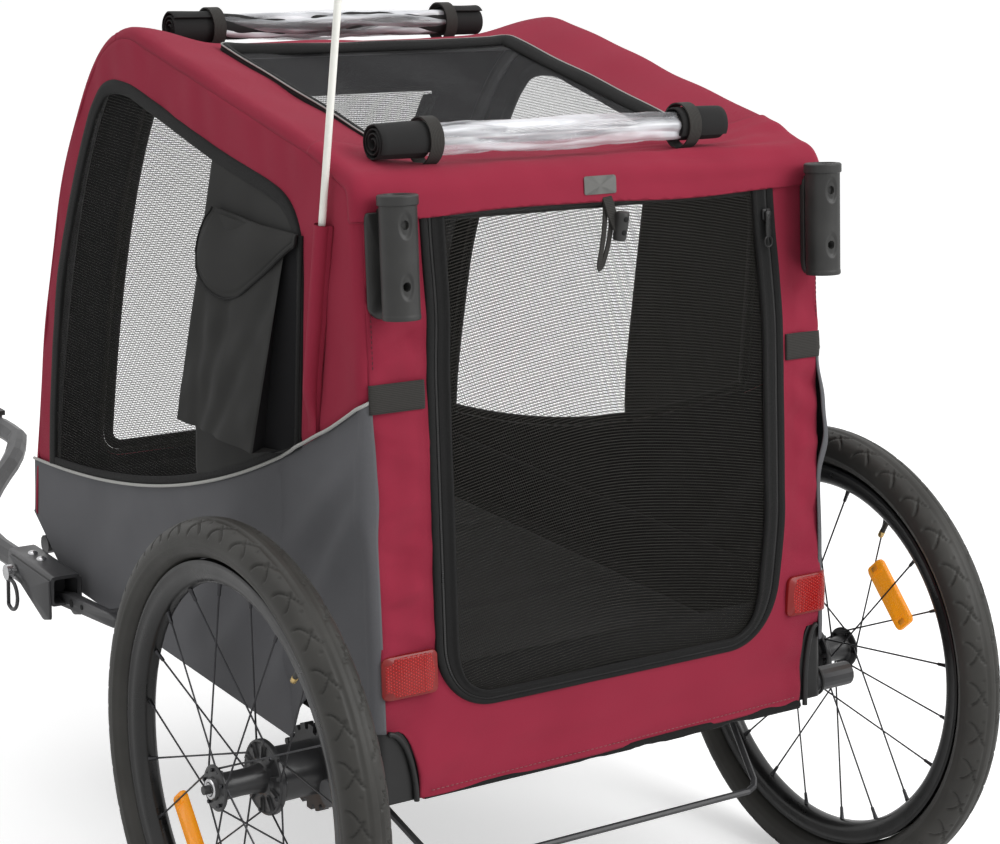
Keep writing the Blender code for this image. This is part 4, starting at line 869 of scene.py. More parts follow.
window = dict(line=[(0.617, 0.450), (0.600, 0.574), (0.582, 0.640), (0.550, 0.716), (0.520, 0.776),
                    (0.500, 0.806), (0.474, 0.828), (0.427, 0.835), (0.369, 0.825), (0.230, 0.797),
                    (0.130, 0.782), (0.092, 0.772), (0.068, 0.752), (0.058, 0.722), (0.056, 0.660)],
              ends=(0.620, 0.056))
panel = dict(low=0.250, frontNotch=(0.577, 0.250), arch=0.062, archUp=0.0025, notchLong=0.046)


def windowLine(count):
    front, rear = window["ends"]
    line = [(front, pipingHeight(front)), *window["line"], (rear, pipingHeight(rear))]
    return smoothLine(line, count)


def makeSideCovers():
    # strip between the side line and the window: up the rear, along the roof and down the front
    n, r = 260, cabin["edgeRound"] - 0.0012
    rearAt = runAtRearHeight(0.612)
    inner = windowLine(400)[::-1]
    run = lengths(inner)
    corner = [0, run[np.argmin(np.abs(inner[:, 1] - 0.768) + 9 * (inner[:, 0] > 0.2))],
              run[np.argmax(inner[:, 1])], run[-1]]
    outerRuns = [rearAt, runAtY(0.0), runAtY(0.455), runAtFrontHeight(pipingHeight(0.664))]
    share = np.linspace(0, 3, n)
    inAt = np.interp(share, [0, 1, 2, 3], corner)
    outAt = np.interp(share, [0, 1, 2, 3], outerRuns)
    inside = np.stack([np.interp(inAt, run, inner[:, k]) for k in (0, 1)], 1)
    outside = insetLine(outAt, r - (r + 0.0049) * (1 - ramp(outAt, runAtRearHeight(0.772),
                                                            runAtRearHeight(0.792))))
    rows = np.linspace(0, 1, 26)[:, None, None]
    flat = outside[None] * (1 - rows) + inside[None] * rows
    y, z, across = flat[..., 0], flat[..., 1], rows[..., 0]
    for end in (0, -1):
        under = z[:, end] - pipingHeight(y[:, end]) + 0.008
        z = z - under[:, None] * (1 - ramp(np.abs(share - share[end]), 0, 0.30))[None]
    out = fabric(y, z, 61, 0.0016, 0.16) + 0.0012 * folds(y * 2, z * 0.6, 0.07, 62)
    above = z - pipingHeight(y)
    out = out * ramp(across, 0, 0.12) * (1 - 0.6 * ramp(across, 0.9, 1)) - 0.0010 * (1 - ramp(across, 0,
                                                                                              0.05))
    out = out * ramp(above, 0.0, 0.03) - 0.0028 * (1 - ramp(above, -0.003, 0.010))
    for side, name in bothSides:
        grid = dict(points=onSide(side, y, z, out), flip=side > 0)
        makePiece(name + "SideCover", [grid], [burgundyCloth], "cabin",
                  [name + "_side_cover"], shell=0.0012, lining=liningAndShadeCloth)


def makeSideWindows():
    # net from the piping up to the window's line, and a bound edge of black tape round it
    line = windowLine(240)
    rear, front = window["ends"][1], window["ends"][0]
    top = line[::-1]
    foot = np.stack([np.linspace(rear, front, 240), pipingHeight(np.linspace(rear, front, 240))], 1)
    rows = np.linspace(0, 1, 60)[:, None, None]
    flat = foot[None] * (1 - rows) + top[None] * rows
    y, z = flat[..., 0], flat[..., 1]
    centre = np.array([0.33, 0.62])
    for side, name in bothSides:
        sag = fabric(y, z, 71, 0.0012, 0.2) - 0.0015
        grid = dict(points=onSide(side, y, z, sag), flip=side < 0,
                    uv=np.stack([y, z], -1))
        makePiece(name + "SideNet", [grid], [sideNet], "cabin", [name + "_side_mesh"],
                  shell=0.0006)
        inward = leftOf(np.gradient(line, axis=0))
        inward *= np.sign(((centre - line) * inward).sum(1, keepdims=True))
        wob = 1 + 0.12 * folds(np.linspace(0, 1.9, len(line)), np.zeros(len(line)), 0.09, 77)
        insets = [-0.0020, -0.0005, 0.0040, 0.0085, 0.0120, 0.0130, 0.0120, -0.0010]
        heights = [0.0004, 0.0020, 0.0023, 0.0017, 0.0015, 0.0002, -0.0030, -0.0030]
        strip = np.stack([onSide(side, *(line + inward * d).T, h * wob) for d, h in zip(insets, heights)])
        low = foot[::4]
        under = [0.0015, 0.0030, 0.0095, 0.0105, 0.0095, 0.0015]
        lift = [0.0006, 0.0014, 0.0014, 0.0002, -0.0024, -0.0024]
        sill = np.stack([onSide(side, low[:, 0], low[:, 1] + d, h) for d, h in zip(under, lift)])
        makePiece(name + "WindowBinding", [dict(points=strip, wrapRows=True),
                                           dict(points=sill, wrapRows=True)],
                  [blackTape], "cabin", closed=True)


def panelFoot(count):
    # bottom edge of a grey panel: rear notch, arch over the axle, straight sill, front notch
    high = notch["high"][0]
    notchY = rearY(high) - 0.0045
    end = np.arange(0.72, -0.001, -0.04) * math.pi
    arch = np.stack([panel["arch"] * np.cos(end), axleZ + panel["archUp"] + panel["arch"] * np.sin(end)], 1)
    arch = arch[arch[:, 0] > notchY + panel["notchLong"] + 0.003]
    line = [(notchY, high), (notchY + panel["notchLong"] - 0.010, high - 0.001),
            (notchY + panel["notchLong"] - 0.002, high + 0.001), *arch, (0.075, panel["low"]),
            panel["frontNotch"], (cabin["frontFoot"][0] - 0.0030, cabin["frontFoot"][1])]
    return evenly(line, count)


def makeLowerPanels():
    # grey cloth between its foot line and the piping, with soft slanting folds behind the wheel
    n = 420
    foot = panelFoot(n)
    top = np.linspace(rearY(0.62) - 0.0045, 0.6655, n)
    top = np.stack([top, pipingHeight(top)], 1)
    rise = np.interp(foot[:, 0], foot[:, 0], np.linspace(0, 1, n))
    share = np.clip((foot[:, 0] - foot[0, 0]) / (foot[-1, 0] - foot[0, 0]), 0, 1) * 0.85 + rise * 0.15
    top = np.stack([np.interp(share, np.linspace(0, 1, n), top[:, k]) for k in (0, 1)], 1)
    rows = np.linspace(0, 1, 70)[:, None, None]
    flat = foot[None] * (1 - rows) + top[None] * rows
    y, z, up = flat[..., 0], flat[..., 1], np.broadcast_to(rows[..., 0], flat.shape[:2])
    out = fabric(y, z, 81, 0.0014, 0.13)
    for shift, tilt, deep, wide in ((0.02, 0.62, 0.0085, 0.018), (0.10, 0.75, 0.0080, 0.022),
                                    (0.21, 0.50, 0.0055, 0.026), (0.40, 0.7, 0.0030, 0.03)):
        off = (y - shift) * math.cos(tilt) + (z - 0.40) * math.sin(tilt)
        out = out + deep * np.exp(-(off / wide) ** 2) * ramp(up, 0.02, 0.35) * (1 - ramp(up, 0.75, 1.0))
    out = out * ramp(up, 0, 0.05) * (1 - ramp(up, 0.96, 1.0)) - 0.0006
    out = out + 0.0026 * (1 - ramp(y - rearY(z), 0.004, 0.014))
    for side, name in bothSides:
        grid = dict(points=onSide(side, y, z, out), flip=side < 0)
        makePiece(name + "LowerPanel", [grid], [greyCloth], "cabin", [name + "_lower_panel"],
                  shell=0.0013, lining=liningAndShadeCloth)
        # piping cord in its sewn fold along the seam, and the folded rear edge of the panel
        cordY = np.linspace(rearY(0.615) - 0.0040, 0.664, 300)
        lift = 0.0016 + 0.0022 * np.exp(-((cordY - 0.064) / 0.020) ** 4)
        if side < 0:
            lift = lift + 0.0044 * np.exp(-((cordY - 0.036) / 0.026) ** 4)  # over the sleeve's foot
        cord = onSide(side, cordY, pipingHeight(cordY), lift)
        makePiece(name + "PipingCord", [tube(cord, 0.0017, 10)], [pipingCord], "cabin",
                  closed=True)


makeSideCovers()
makeSideWindows()
makeLowerPanels()
print("sides are made")


# Roof, roof window and front

roofWindow = dict(half=halfWidth - 0.092, rear=0.085, front=0.395, round=0.014)
frontDoor = dict(half=halfWidth - 0.080, low=0.365, high=0.800, round=0.030, roundTop=0.012)


def ringCover(name, outer, inner, rows, replaced, seed, depth, lift=0.0):
    share = np.linspace(0, 1, rows)[:, None, None]
    param = inner[None] * (1 - share) + outer[None] * share
    x, s = param[..., 0], param[..., 1]
    out = fabric(x, s, seed, depth) * (1 - ramp(share[..., 0], 0.92, 1.0)) + lift * ramp(1 - share[..., 0],
                                                                                         0.7, 1.0)
    grid = dict(points=onCabin(x, s, out), wrapCols=True, flip=True)
    return makePiece(name, [grid], [burgundyCloth], "cabin", [replaced], shell=0.0012,
                     lining=liningAndShadeCloth)


def besideLine(line, inward, insets, lifts):
    # grid lines beside a line on the skin, each moved in by its inset and standing out by its lift
    return np.stack([onCabin(*(line + inward * d).T, lift) for d, lift in zip(insets, lifts)])


def makeRoof():
    n, edge = 90, edgeEnd + 0.0005
    low, high = runAtY(roofWindow["rear"]), runAtY(roofWindow["front"])
    half, r = roofWindow["half"], roofWindow["round"]
    box = [(-edge, roofStart), (edge, roofStart), (edge, roofEnd), (-edge, roofEnd), (-edge, roofStart)]
    outer = sidesLoop([box[k:k + 2] for k in range(4)], n)
    inner = roundedLoop((-half, low), (half, high), [r] * 4, n)
    ringCover("roofCover", outer, inner, 30, "roof_cover", 91, 0.0022, 0.0010)
    # net, a little slack between the bars
    u, v = np.meshgrid(np.linspace(-1, 1, 100), np.linspace(low - 0.002, high + 0.002, 90))
    x = u * (half + 0.002)
    slack = -0.0040 * (1 - u ** 2) + 0.0022 * folds(x, v * 0.4, 0.12, 93)
    makePiece("roofNet", [dict(points=onCabin(x, v, slack - 0.0005), flip=True)], [roofNet], "cabin",
              ["roof_mesh"], shell=0.0006)
    # zip band that stands up round the window, with pale piping on its outer edge
    loop = roundedLoop((-half - 0.001, low - 0.001), (half + 0.001, high + 0.001), [r] * 4, 150)
    inwards = leftOf(np.roll(loop, -1, 0) - np.roll(loop, 1, 0))
    wob = 1 + 0.18 * folds(loop[:, 0], loop[:, 1], 0.12, 95)
    insets = [-0.0030, -0.0020, 0.0010, 0.0060, 0.0100, 0.0125, 0.0120, 0.0060, -0.0010]
    heights = [0.0002, 0.0050, 0.0078, 0.0066, 0.0040, 0.0016, -0.0010, -0.0012, -0.0012]
    band = besideLine(loop, inwards, insets, [h * wob for h in heights])
    rim = onCabin(*(loop - inwards * 0.0022).T, 0.0060 * wob)
    rim = np.vstack([rim, rim[:1]])
    makeTape("roofZipBand", band, around=True)
    makePiece("roofZipPiping", [tube(rim, 0.0009, 8)], [pipingCord], "cabin", closed=True)


def makeFront():
    n, edge = 80, edgeEnd + 0.0005
    box = [(-edge, roofEnd), (edge, roofEnd), (edge, frontEnd), (-edge, frontEnd), (-edge, roofEnd)]
    outer = sidesLoop([box[k:k + 2] for k in range(4)], n)
    half = frontDoor["half"]
    top, low = runAtFrontHeight(frontDoor["high"]), runAtFrontHeight(frontDoor["low"])
    inner = roundedLoop((-half, top), (half, low), [frontDoor["roundTop"]] * 2 + [frontDoor["round"]] * 2, n)
    ringCover("frontCover", outer, inner, 28, "front_cover", 101, 0.0016)
    u, v = np.meshgrid(np.linspace(-1, 1, 80), np.linspace(0, 1, 110))
    s = top - 0.003 + v * (low - top + 0.003)
    r = frontDoor["round"]
    rise = np.clip(low - s, 0, r)
    wide = half + 0.001 - (r - np.sqrt(np.maximum(r * r - (r - rise) ** 2, 0)))
    x = u * wide
    slack = -0.0012 - 0.0030 * (1 - u ** 2) * np.sin(v * math.pi) + 0.0012 * folds(x, s, 0.2, 103)
    makePiece("frontDoorNet", [dict(points=onCabin(x, s, slack), flip=True)], [doorNet], "front_flap_door",
              ["front_door"], shell=0.0007)
    loop = roundedLoop((-half, top), (half, low), [frontDoor["roundTop"]] * 2 + [frontDoor["round"]] * 2, 180)
    inwards = leftOf(np.roll(loop, -1, 0) - np.roll(loop, 1, 0))
    insets = [-0.0030, -0.0015, 0.0020, 0.0058, 0.0062, 0.0020, -0.0010]
    heights = [0.0004, 0.0024, 0.0026, 0.0018, 0.0002, -0.0006, -0.0006]
    makeTape("frontZipOuterTape", besideLine(loop, inwards, insets, heights), around=True)
    keep = loop[loop[:, 1] > top + 0.012]
    start = int(np.argmax(np.linalg.norm(np.diff(np.vstack([keep, keep[:1]]), axis=0), axis=1))) + 1
    keep = evenly(np.roll(keep, -start, 0), 300)
    inwards = leftOf(np.gradient(keep, axis=0))
    insets = [0.0064, 0.0072, 0.0085, 0.0098, 0.0120, 0.0170, 0.0185, 0.0150, 0.0070]
    heights = [0.0002, 0.0022, 0.0028, 0.0020, 0.0014, 0.0016, 0.0002, -0.0016, -0.0010]
    makeTape("frontDoorTape", besideLine(keep, inwards, insets, heights), "front_flap_door")


makeRoof()
makeFront()
print("roof and front are made")


# Wheels

wheel = dict(x=(tyreLow.x + tyreHigh.x) / 2, rimRadius=0.2090, tyreRadius=0.2475, tyreHalf=0.022,
             seatGap=0.0003,
             rimDepth=0.0225, rimHalf=0.0125, spokes=20, crossing=0.00125,
             outerFlange=0.024, innerFlange=0.027, flangeRadius=0.022, discRadius=0.036, foot=0.0045,
             lean=(68.0, 40.8), ring=0.081, ringThick=0.010, ringTip=0.042,
             ringRoot=0.036, teeth=16, toothTurn=0.1955, bore=0.0064, valveTurn=126.0, valveRadius=0.171)
tread = dict(around=1380, section=70, fins=36, width=0.0013, deep=0.0026, slit=0.0016, ridge=0.0008)
spokeReflector = dict(long=0.076, wide=0.026, thick=0.006, radius=0.128, turns={"left": -42, "right": 134})


def wheelTurned(side, profile, count, change=None):
    # profile of (outwards from the wheel's middle plane, radius), turned from ahead of the axle upwards
    profile = np.asarray(profile, float)
    a = np.arange(count)[:, None] * tau / count
    u, r = (np.broadcast_to(profile[:, k], (count, len(profile))) for k in (0, 1))
    if change is not None:
        u, r = change(a, u, r)
    points = np.stack([side * (abs(wheel["x"]) + u), r * np.cos(a), axleZ + r * np.sin(a)], -1)
    return dict(points=points, wrapRows=True, wrapCols=True)


def makeTyre(side, name):
    # rounded section; grooves are cut where their pattern over turn and width says
    n, half = tread["section"], wheel["tyreHalf"]
    seat = wheel["rimRadius"] + wheel["seatGap"]
    height = (wheel["tyreRadius"] - seat) / 2
    t = np.arange(n) * tau / n
    u = half * np.sign(np.cos(t)) * np.abs(np.cos(t)) ** 0.92
    r = seat + height * (1 + np.sin(t))
    crown = np.sin(t)

    def grooves(a, uu, rr):
        wide = np.abs(uu) / half
        turn = a * tread["fins"] / tau + np.where(uu > 0, 0.5, 0.0)
        step = tau * wheel["tyreRadius"] / tread["fins"]
        hook = np.abs((turn + 0.62 * ramp(wide, 0.20, 0.98)) % 1.0 - 0.5) * step
        tail = np.abs((turn + 0.40 - 0.34 * ramp(wide, 0.42, 0.98)) % 1.0 - 0.5) * step
        cut = np.abs((turn * 2 + 18 * uu) % 1.0 - 0.5) * step / 2
        fin = np.exp(-(hook / tread["width"]) ** 2) * ramp(wide, 0.26, 0.34) * (1 - ramp(wide, 0.93, 0.98))
        shortFin = np.exp(-(tail / tread["width"]) ** 2) * ramp(wide, 0.46,
                                                                0.52) * (1 - ramp(wide, 0.90, 0.96))
        line = np.exp(-((np.abs(uu) - 0.0052) / 0.0009) ** 2)
        slit = np.exp(-(cut / tread["width"]) ** 2) * np.exp(-((wide - 0.50) / 0.05) ** 4)
        deep = np.maximum(np.maximum(fin, shortFin) * tread["deep"], np.maximum(line, slit) * tread["slit"])
        ridge = np.exp(-((crown + 0.28) / 0.05) ** 2) + 0.6 * np.exp(-((crown + 0.62) / 0.04) ** 2)
        mid = seat + height
        norm = np.hypot(uu, rr - mid)
        scale = (norm - deep * ramp(crown, 0.02, 0.22) + tread["ridge"] * ridge) / norm
        return uu * scale, mid + (rr - mid) * scale

    tyre = wheelTurned(side, np.stack([u, r], 1), tread["around"], grooves)
    makePiece(name + "Tyre", [tyre], [rubber], name + "_wheel", [name + "_tyre"], closed=True)


def ringAt(side, turn, u, r):
    return np.array([side * (abs(wheel["x"]) + u), r * math.cos(turn), axleZ + r * math.sin(turn)])


def makeRim(side, name):
    # box section with bead lips, a nipple for each spoke and the valve with its cap
    outer, inner, half = wheel["rimRadius"], wheel["rimRadius"] - wheel["rimDepth"], wheel["rimHalf"]
    edge = [(-half, outer), (-half - 0.0004, outer - 0.0015), (-half - 0.0002, outer - 0.004),
            (-half + 0.0006, outer - 0.0050), (-half + 0.0003, outer - 0.011), (-half * 0.86, inner + 0.0065),
            (-half * 0.62, inner + 0.0026), (-half * 0.34, inner + 0.0004)]
    profile = edge + [(0, inner)] + [(-u, r) for u, r in edge[::-1]] + [(0, outer - 0.0002)]
    grids = [wheelTurned(side, profile, 240)]
    reach = inner - 0.0004
    for k in range(wheel["spokes"]):
        start, end, turn = spokeEnds(side, k)
        way = unit(start - end)
        steps = np.array([0, 0.0005, 0.006, 0.011, 0.0125, 0.0128])
        radii = np.array([0.0026, 0.0024, 0.0019, 0.0018, 0.0016, 0.0011])
        path = end + way * (steps[:, None] - 0.0002)
        grids.append(dict(tube(path, radii, 8), mat=1))
    turn = math.radians(wheel["valveTurn"] if side < 0 else wheel["valveTurn"] - 12)
    out = ringAt(side, turn, 0, 1) - ringAt(side, turn, 0, 0)
    base = ringAt(side, turn, 0, 0)
    at = np.array([reach + 0.001, reach - 0.002, reach - 0.003, reach - 0.014, wheel["valveRadius"] - 0.001])
    grids.append(dict(tube(base + out * at[:, None], [0.0042, 0.0042, 0.0030, 0.0028, 0.0026], 12), mat=2))
    at = wheel["valveRadius"] + np.array([0.0, -0.001, -0.006, -0.0072])
    grids.append(dict(tube(base + out * at[:, None], [0.0030, 0.0032, 0.0031, 0.0020], 12), mat=3))
    makePiece(name + "Rim", grids, [blackRim, spokeSteel, rubber, brass], name + "_wheel",
              [name + "_rim"], closed=True, sharp=50)


def spokeEnds(side, k):
    # hole in the hub's flange and end at the rim; neighbours on a flange lean opposite ways
    outer, way = k % 2 == 0, (1 if (k // 2) % 2 else -1)
    flange = wheel["outerFlange"] if outer else -wheel["innerFlange"]
    edge = wheel["flangeRadius"] if outer else wheel["discRadius"]
    turn = tau * (k + 0.25) / wheel["spokes"]
    beside = wheel["crossing"] * way
    start = ringAt(side, turn + math.radians(wheel["lean"][0 if outer else 1]) * way, flange + beside,
                   edge - wheel["foot"])
    end = ringAt(side, turn, beside, wheel["rimRadius"] - wheel["rimDepth"] - 0.0005)
    return start, end, turn


def makeHub(side, name):
    # shell, flange, ribbed disc, drum, toothed ring, and the spokes with their bent heads
    w = wheel
    shell = [(0.030, w["bore"]), (0.0302, 0.0088), (0.0290, 0.0104), (0.0262, 0.0112), (0.0258, 0.0135),
             (0.0256, 0.0205), (0.0250, 0.0219), (0.0230, 0.0219), (0.0224, 0.0205), (0.0222, 0.0150),
             (0.0210, 0.0137), (0.0120, 0.0126), (0.0000, 0.0122), (-0.0120, 0.0126), (-0.0225, 0.0140),
             (-0.0238, 0.0165), (-0.0240, 0.0345), (-0.0252, 0.0360), (-0.0300, 0.0360), (-0.0312, 0.0348),
             (-0.0312, 0.0275), (-0.0325, 0.0262), (-0.0560, 0.0258), (-0.0720, 0.0260), (-0.0858, 0.0260),
             (-0.0860, w["bore"])]

    def ribs(a, u, r):
        # webs that stand out of both faces of the disc
        face = ramp(r, 0.017, 0.020) * (1 - ramp(r, 0.0325, 0.0340)) * (u < -0.020) * (u > -0.0318)
        web = np.abs(((a * 10 / tau) % 1.0) - 0.5) * 2
        way = np.where(u > -0.026, 1, -1)
        return u + way * face * 0.0030 * (1 - ramp(web, 0.16, 0.26)) - way * face * 0.0012, r

    body = wheelTurned(side, evenly(shell, 150), 360, ribs)

    def castle(a, u, r):
        # teeth: the radius steps between root and tip
        phase = np.abs((((a - w["toothTurn"]) * w["teeth"] / tau) % 1.0) - 0.5) * 2
        tooth = 1 - ramp(phase, 0.52, 0.66)
        return u, np.where(r > 0.030, w["ringRoot"] + (w["ringTip"] - w["ringRoot"]) * tooth, r)

    low = -w["ring"] - w["ringThick"] / 2 + 0.001
    high = low + w["ringThick"]
    ring = wheelTurned(side, [(low, 0.0258), (low, 0.030), (low, 0.0401), (low + 0.0005, 0.0402),
                              (high - 0.0005, 0.0402), (high, 0.0401), (high, 0.030), (high, 0.0258)], 640,
                              castle)
    # bright collar round the bore at the hub's outer end
    collar = wheelTurned(side, [(0.0300, 0.0068), (0.0306, 0.0070), (0.0310, 0.0082), (0.0306, 0.0094),
                                (0.0296, 0.0098), (0.0290, 0.0068)], 64)
    grids = [body, ring, dict(collar, mat=1)]
    for k in range(w["spokes"]):
        start, end, turn = spokeEnds(side, k)
        outer = k % 2 == 0
        way = 1 if (k // 2) % 2 else -1
        away = np.array([side * way, 0.0, 0.0])
        head = start - away * (0.0050 if outer else 0.0068)
        path = np.vstack([[head - away * 0.0006, head, head + away * 0.0012, start - away * 0.0010,
                           start + away * 0.0004],
                          start + (end - start) * np.array([0.010, 0.03, 0.3, 0.7, 0.985])[:, None]])
        radii = [0.0012, 0.0020, 0.0019, 0.0010, 0.0010, 0.0010, 0.0010, 0.0009, 0.0009, 0.0010]
        grids.append(dict(tube(path, radii, 8), mat=2))
    makePiece(name + "Hub", grids, [hubPlastic, chrome, spokeSteel], name + "_wheel", [name + "_hub"],
              closed=True, sharp=40)


def slab(outline, thick, place, inset=0.0012, rows=3):
    # cushion-edged plate: an outline of (across, up) rounded over at both faces
    outline = np.asarray(outline, float)
    middle = (outline.max(0) + outline.min(0)) / 2
    outline = outline - middle
    size = np.abs(outline).max(0)
    layers = [(outline * 0, -thick / 2)]
    for t in np.linspace(-math.pi / 2, math.pi / 2, 2 * rows + 1):
        layers.append((outline * (1 - inset * (1 - math.cos(t)) / size), thick / 2 * math.sin(t)))
    layers.append((outline * 0, thick / 2))
    points = [place(*(shape + middle).T, np.full(len(shape), depth)) for shape, depth in layers]
    return dict(points=np.stack(points), wrapCols=True)


def makeSpokeReflector(side, name):
    # rounded orange bar between the spokes, in a clip at each end
    m = spokeReflector
    tilt = math.radians(m["turns"][name])
    middle = ringAt(side, tilt, 0, m["radius"])
    radial = ringAt(side, tilt, 0, 1) - ringAt(side, tilt, 0, 0)
    tangent = np.array([0, -radial[2], radial[1]])

    def place(u, v, d):
        return middle + radial * u[:, None] + tangent * v[:, None] + np.array([1.0, 0, 0]) * d[:, None]

    body = roundedLoop((-m["wide"] / 2, -m["long"] / 2), (m["wide"] / 2, m["long"] / 2), [0.0055] * 4, 20)
    grids = [slab(body, m["thick"], place, 0.0010)]
    clip = roundedLoop((-0.0046, -0.0030), (0.0046, 0.0030), [0.0015] * 4, 8)
    rib = roundedLoop((-m["wide"] / 2 + 0.002, -0.0007), (m["wide"] / 2 - 0.002, 0.0007), [0.0006] * 4, 6)
    for end in (-1, 1):
        for loop, proud, back, inset, mat in ((clip, 0.0030, 0.006, 0.0006, 1),
                                              (rib, 0.0012, 0.0115, 0.0003, 0)):
            shift = end * (m["long"] / 2 - back)
            bar = slab(loop, m["thick"] + proud, lambda u, v, d: place(u, v + shift, d), inset)
            grids.append(dict(bar, mat=mat))
    makePiece(name + "SpokeReflector", grids, [orangeLens,
                                               moulded(name + "ClipPlastic", (0.80, 0.30, 0.02), 0.4)],
              name + "_wheel", [name + "_spoke_reflector"], closed=True)


for side, name in bothSides:
    makeTyre(side, name)
    makeRim(side, name)
    makeHub(side, name)
    makeSpokeReflector(side, name)
print("wheels are made")


# Rolled covers and their straps

rearRoll = dict(ends=(-0.231, 0.164), y=0.006, radius=0.0192, film=(-0.178, 0.108),
                loops=(-0.175, 0.121), drop=0.001, turns=3.4, core=0.0)
frontRoll = dict(ends=(-0.194, 0.194), y=0.480, radius=0.0190, film=(-0.140, 0.144), loops=(-0.144, 0.148),
                 drop=0.008, turns=3.2, core=0.70)


def rollAxis(roll, rear):
    if rear:
        lift = roll["radius"] * math.hypot(1, cabin["roofSlope"]) + 0.001
        return roll["y"], roofHeight(roll["y"]) + lift - roll["drop"]
    p, n = lineAt(runAtY(np.linspace(0.3, 0.55, 200)))
    above = p + n * (roll["radius"] + 0.002)
    return roll["y"], float(np.interp(roll["y"], above[:, 0], above[:, 1])) - roll["drop"]


def spiralRoll(x0, x1, y, z, radius, turns, seed, thick=0.0013, core=0.0042):
    # cloth wound on itself: the radius grows with the turn; closed at the ribbon's faces and ends
    n = int(44 * turns)
    a = np.linspace(0, turns * tau, n) + 1.1
    xs = np.array([x0, x0 + 0.0006, *np.linspace(x0 + 0.006, x1 - 0.006, 9), x1 - 0.0006, x1])
    r = core + (radius - core) * np.linspace(0, 1, n) ** 0.9
    rows = []
    for k, x in enumerate(xs):
        end = 0.0006 if k in (0, len(xs) - 1) else 0.0
        soft = 0.0007 * folds(a * 0.02 + x, a * 0.05, 0.08, seed) * (0 if end else 1)
        outer = np.stack([(r - end + soft) * np.cos(a), (r - end + soft) * np.sin(a)], 1)
        inner = outer * ((r - thick + end) / r)[:, None]
        loop = np.vstack([outer, inner[::-1]])
        rows.append(np.column_stack([np.full(len(loop), x), y + loop[:, 0], z + loop[:, 1]]))
    points = np.stack(rows)
    caps = [np.stack([points[k, :n], points[k, :n - 1:-1]]) for k in (0, -1)]
    return [dict(points=points, wrapCols=True), dict(points=caps[0]), dict(points=caps[1])]


def closedRoll(xx, aa, r, y, z, squash=1.0):
    # skin of radius r at places along and turns round an axis across the roof, closed to a point at both ends
    points = np.stack([xx, y + r * np.cos(aa), z + r * np.sin(aa) * squash], -1)
    ends = [np.repeat(np.array([[[x, y, z]]]), xx.shape[1], 1) for x in (xx[0, 0], xx[-1, 0])]
    return dict(points=np.concatenate([ends[0], points, ends[1]]), wrapCols=True)


def filmRoll(x0, x1, y, z, radius, seed, swell):
    # clear foil wound round: long creases along it, fuller in the middle
    xx, aa = np.meshgrid(np.linspace(x0, x1, 130), np.arange(120) * tau / 120, indexing="ij")
    share = (xx - x0) / (x1 - x0)
    r = radius * (1 + swell * np.sin(share * math.pi) ** 0.6 * (0.6 + 0.4 * folds(xx, aa * 0.01, 0.09, seed)))
    crease = np.abs(np.sin(aa * 2.5 + 2.2 * folds(xx, aa * 0.006, 0.14, seed + 1)))
    r = r - 0.0026 * (1 - crease) + 0.0008 * folds(xx, aa * 0.02, 0.03, seed + 2)
    return closedRoll(xx, aa, r, y, z, 0.96)


def strapLoop(x, y, z, radius, wide=0.014, thick=0.0014):
    # webbing once round the roll and down to the roof
    a = np.arange(72) * tau / 72
    grow = radius + 0.0012 + 0.0010 * np.maximum(0, -np.sin(a)) ** 4
    section = [(-wide / 2, 0), (-wide / 2, thick), (wide / 2, thick), (wide / 2, 0)]
    rows = [np.column_stack([np.full(72, x + u), y + (grow + v) * np.cos(a), z + (grow + v) * np.sin(a)])
            for u, v in section]
    return dict(points=np.stack(rows), wrapRows=True, wrapCols=True)


def makeRoll(roll, name, node, rear):
    y, z = rollAxis(roll, rear)
    r, (left, right) = roll["radius"], roll["ends"]
    f0, f1 = roll["film"]
    cloth = spiralRoll(left, f0, y, z, r - 0.0006, roll["turns"], 7)
    cloth += spiralRoll(f1, right, y, z, r - 0.0006, roll["turns"], 9)
    makePiece(name + "Ends", cloth, [blackCloth], "cabin", [node], closed=True, sharp=60)
    if roll["core"]:
        core = wrinkledCore(f0 - 0.004, f1 + 0.004, y, z, r * roll["core"])
        makePiece(name + "Core", [core], [blackCloth], "cabin", closed=True)
    makePiece(name + "Film", [filmRoll(f0 - 0.004, f1 + 0.004, y, z, r - 0.0048, 11, 0.24)], [foil], "cabin",
              closed=True)
    loops = [strapLoop(x, y, z, r) for x in roll["loops"]]
    makePiece(name + "Loops", loops, [strapTape], "cabin", closed=True, sharp=50)


def wrinkledCore(x0, x1, y, z, radius):
    # dark cloth rolled up inside the foil
    xx, aa = np.meshgrid(np.linspace(x0, x1, 60), np.arange(40) * tau / 40, indexing="ij")
    return closedRoll(xx, aa, radius * (1 + 0.10 * folds(xx, aa * 0.01, 0.06, 15)), y, z)


makeRoll(rearRoll, "rearRoll", "rear_rolled_cover", True)
makeRoll(frontRoll, "frontRoll", "front_rolled_cover", False)
print("rolled covers are made")


# Pockets, pole sleeve, straps, label and other sewn pieces

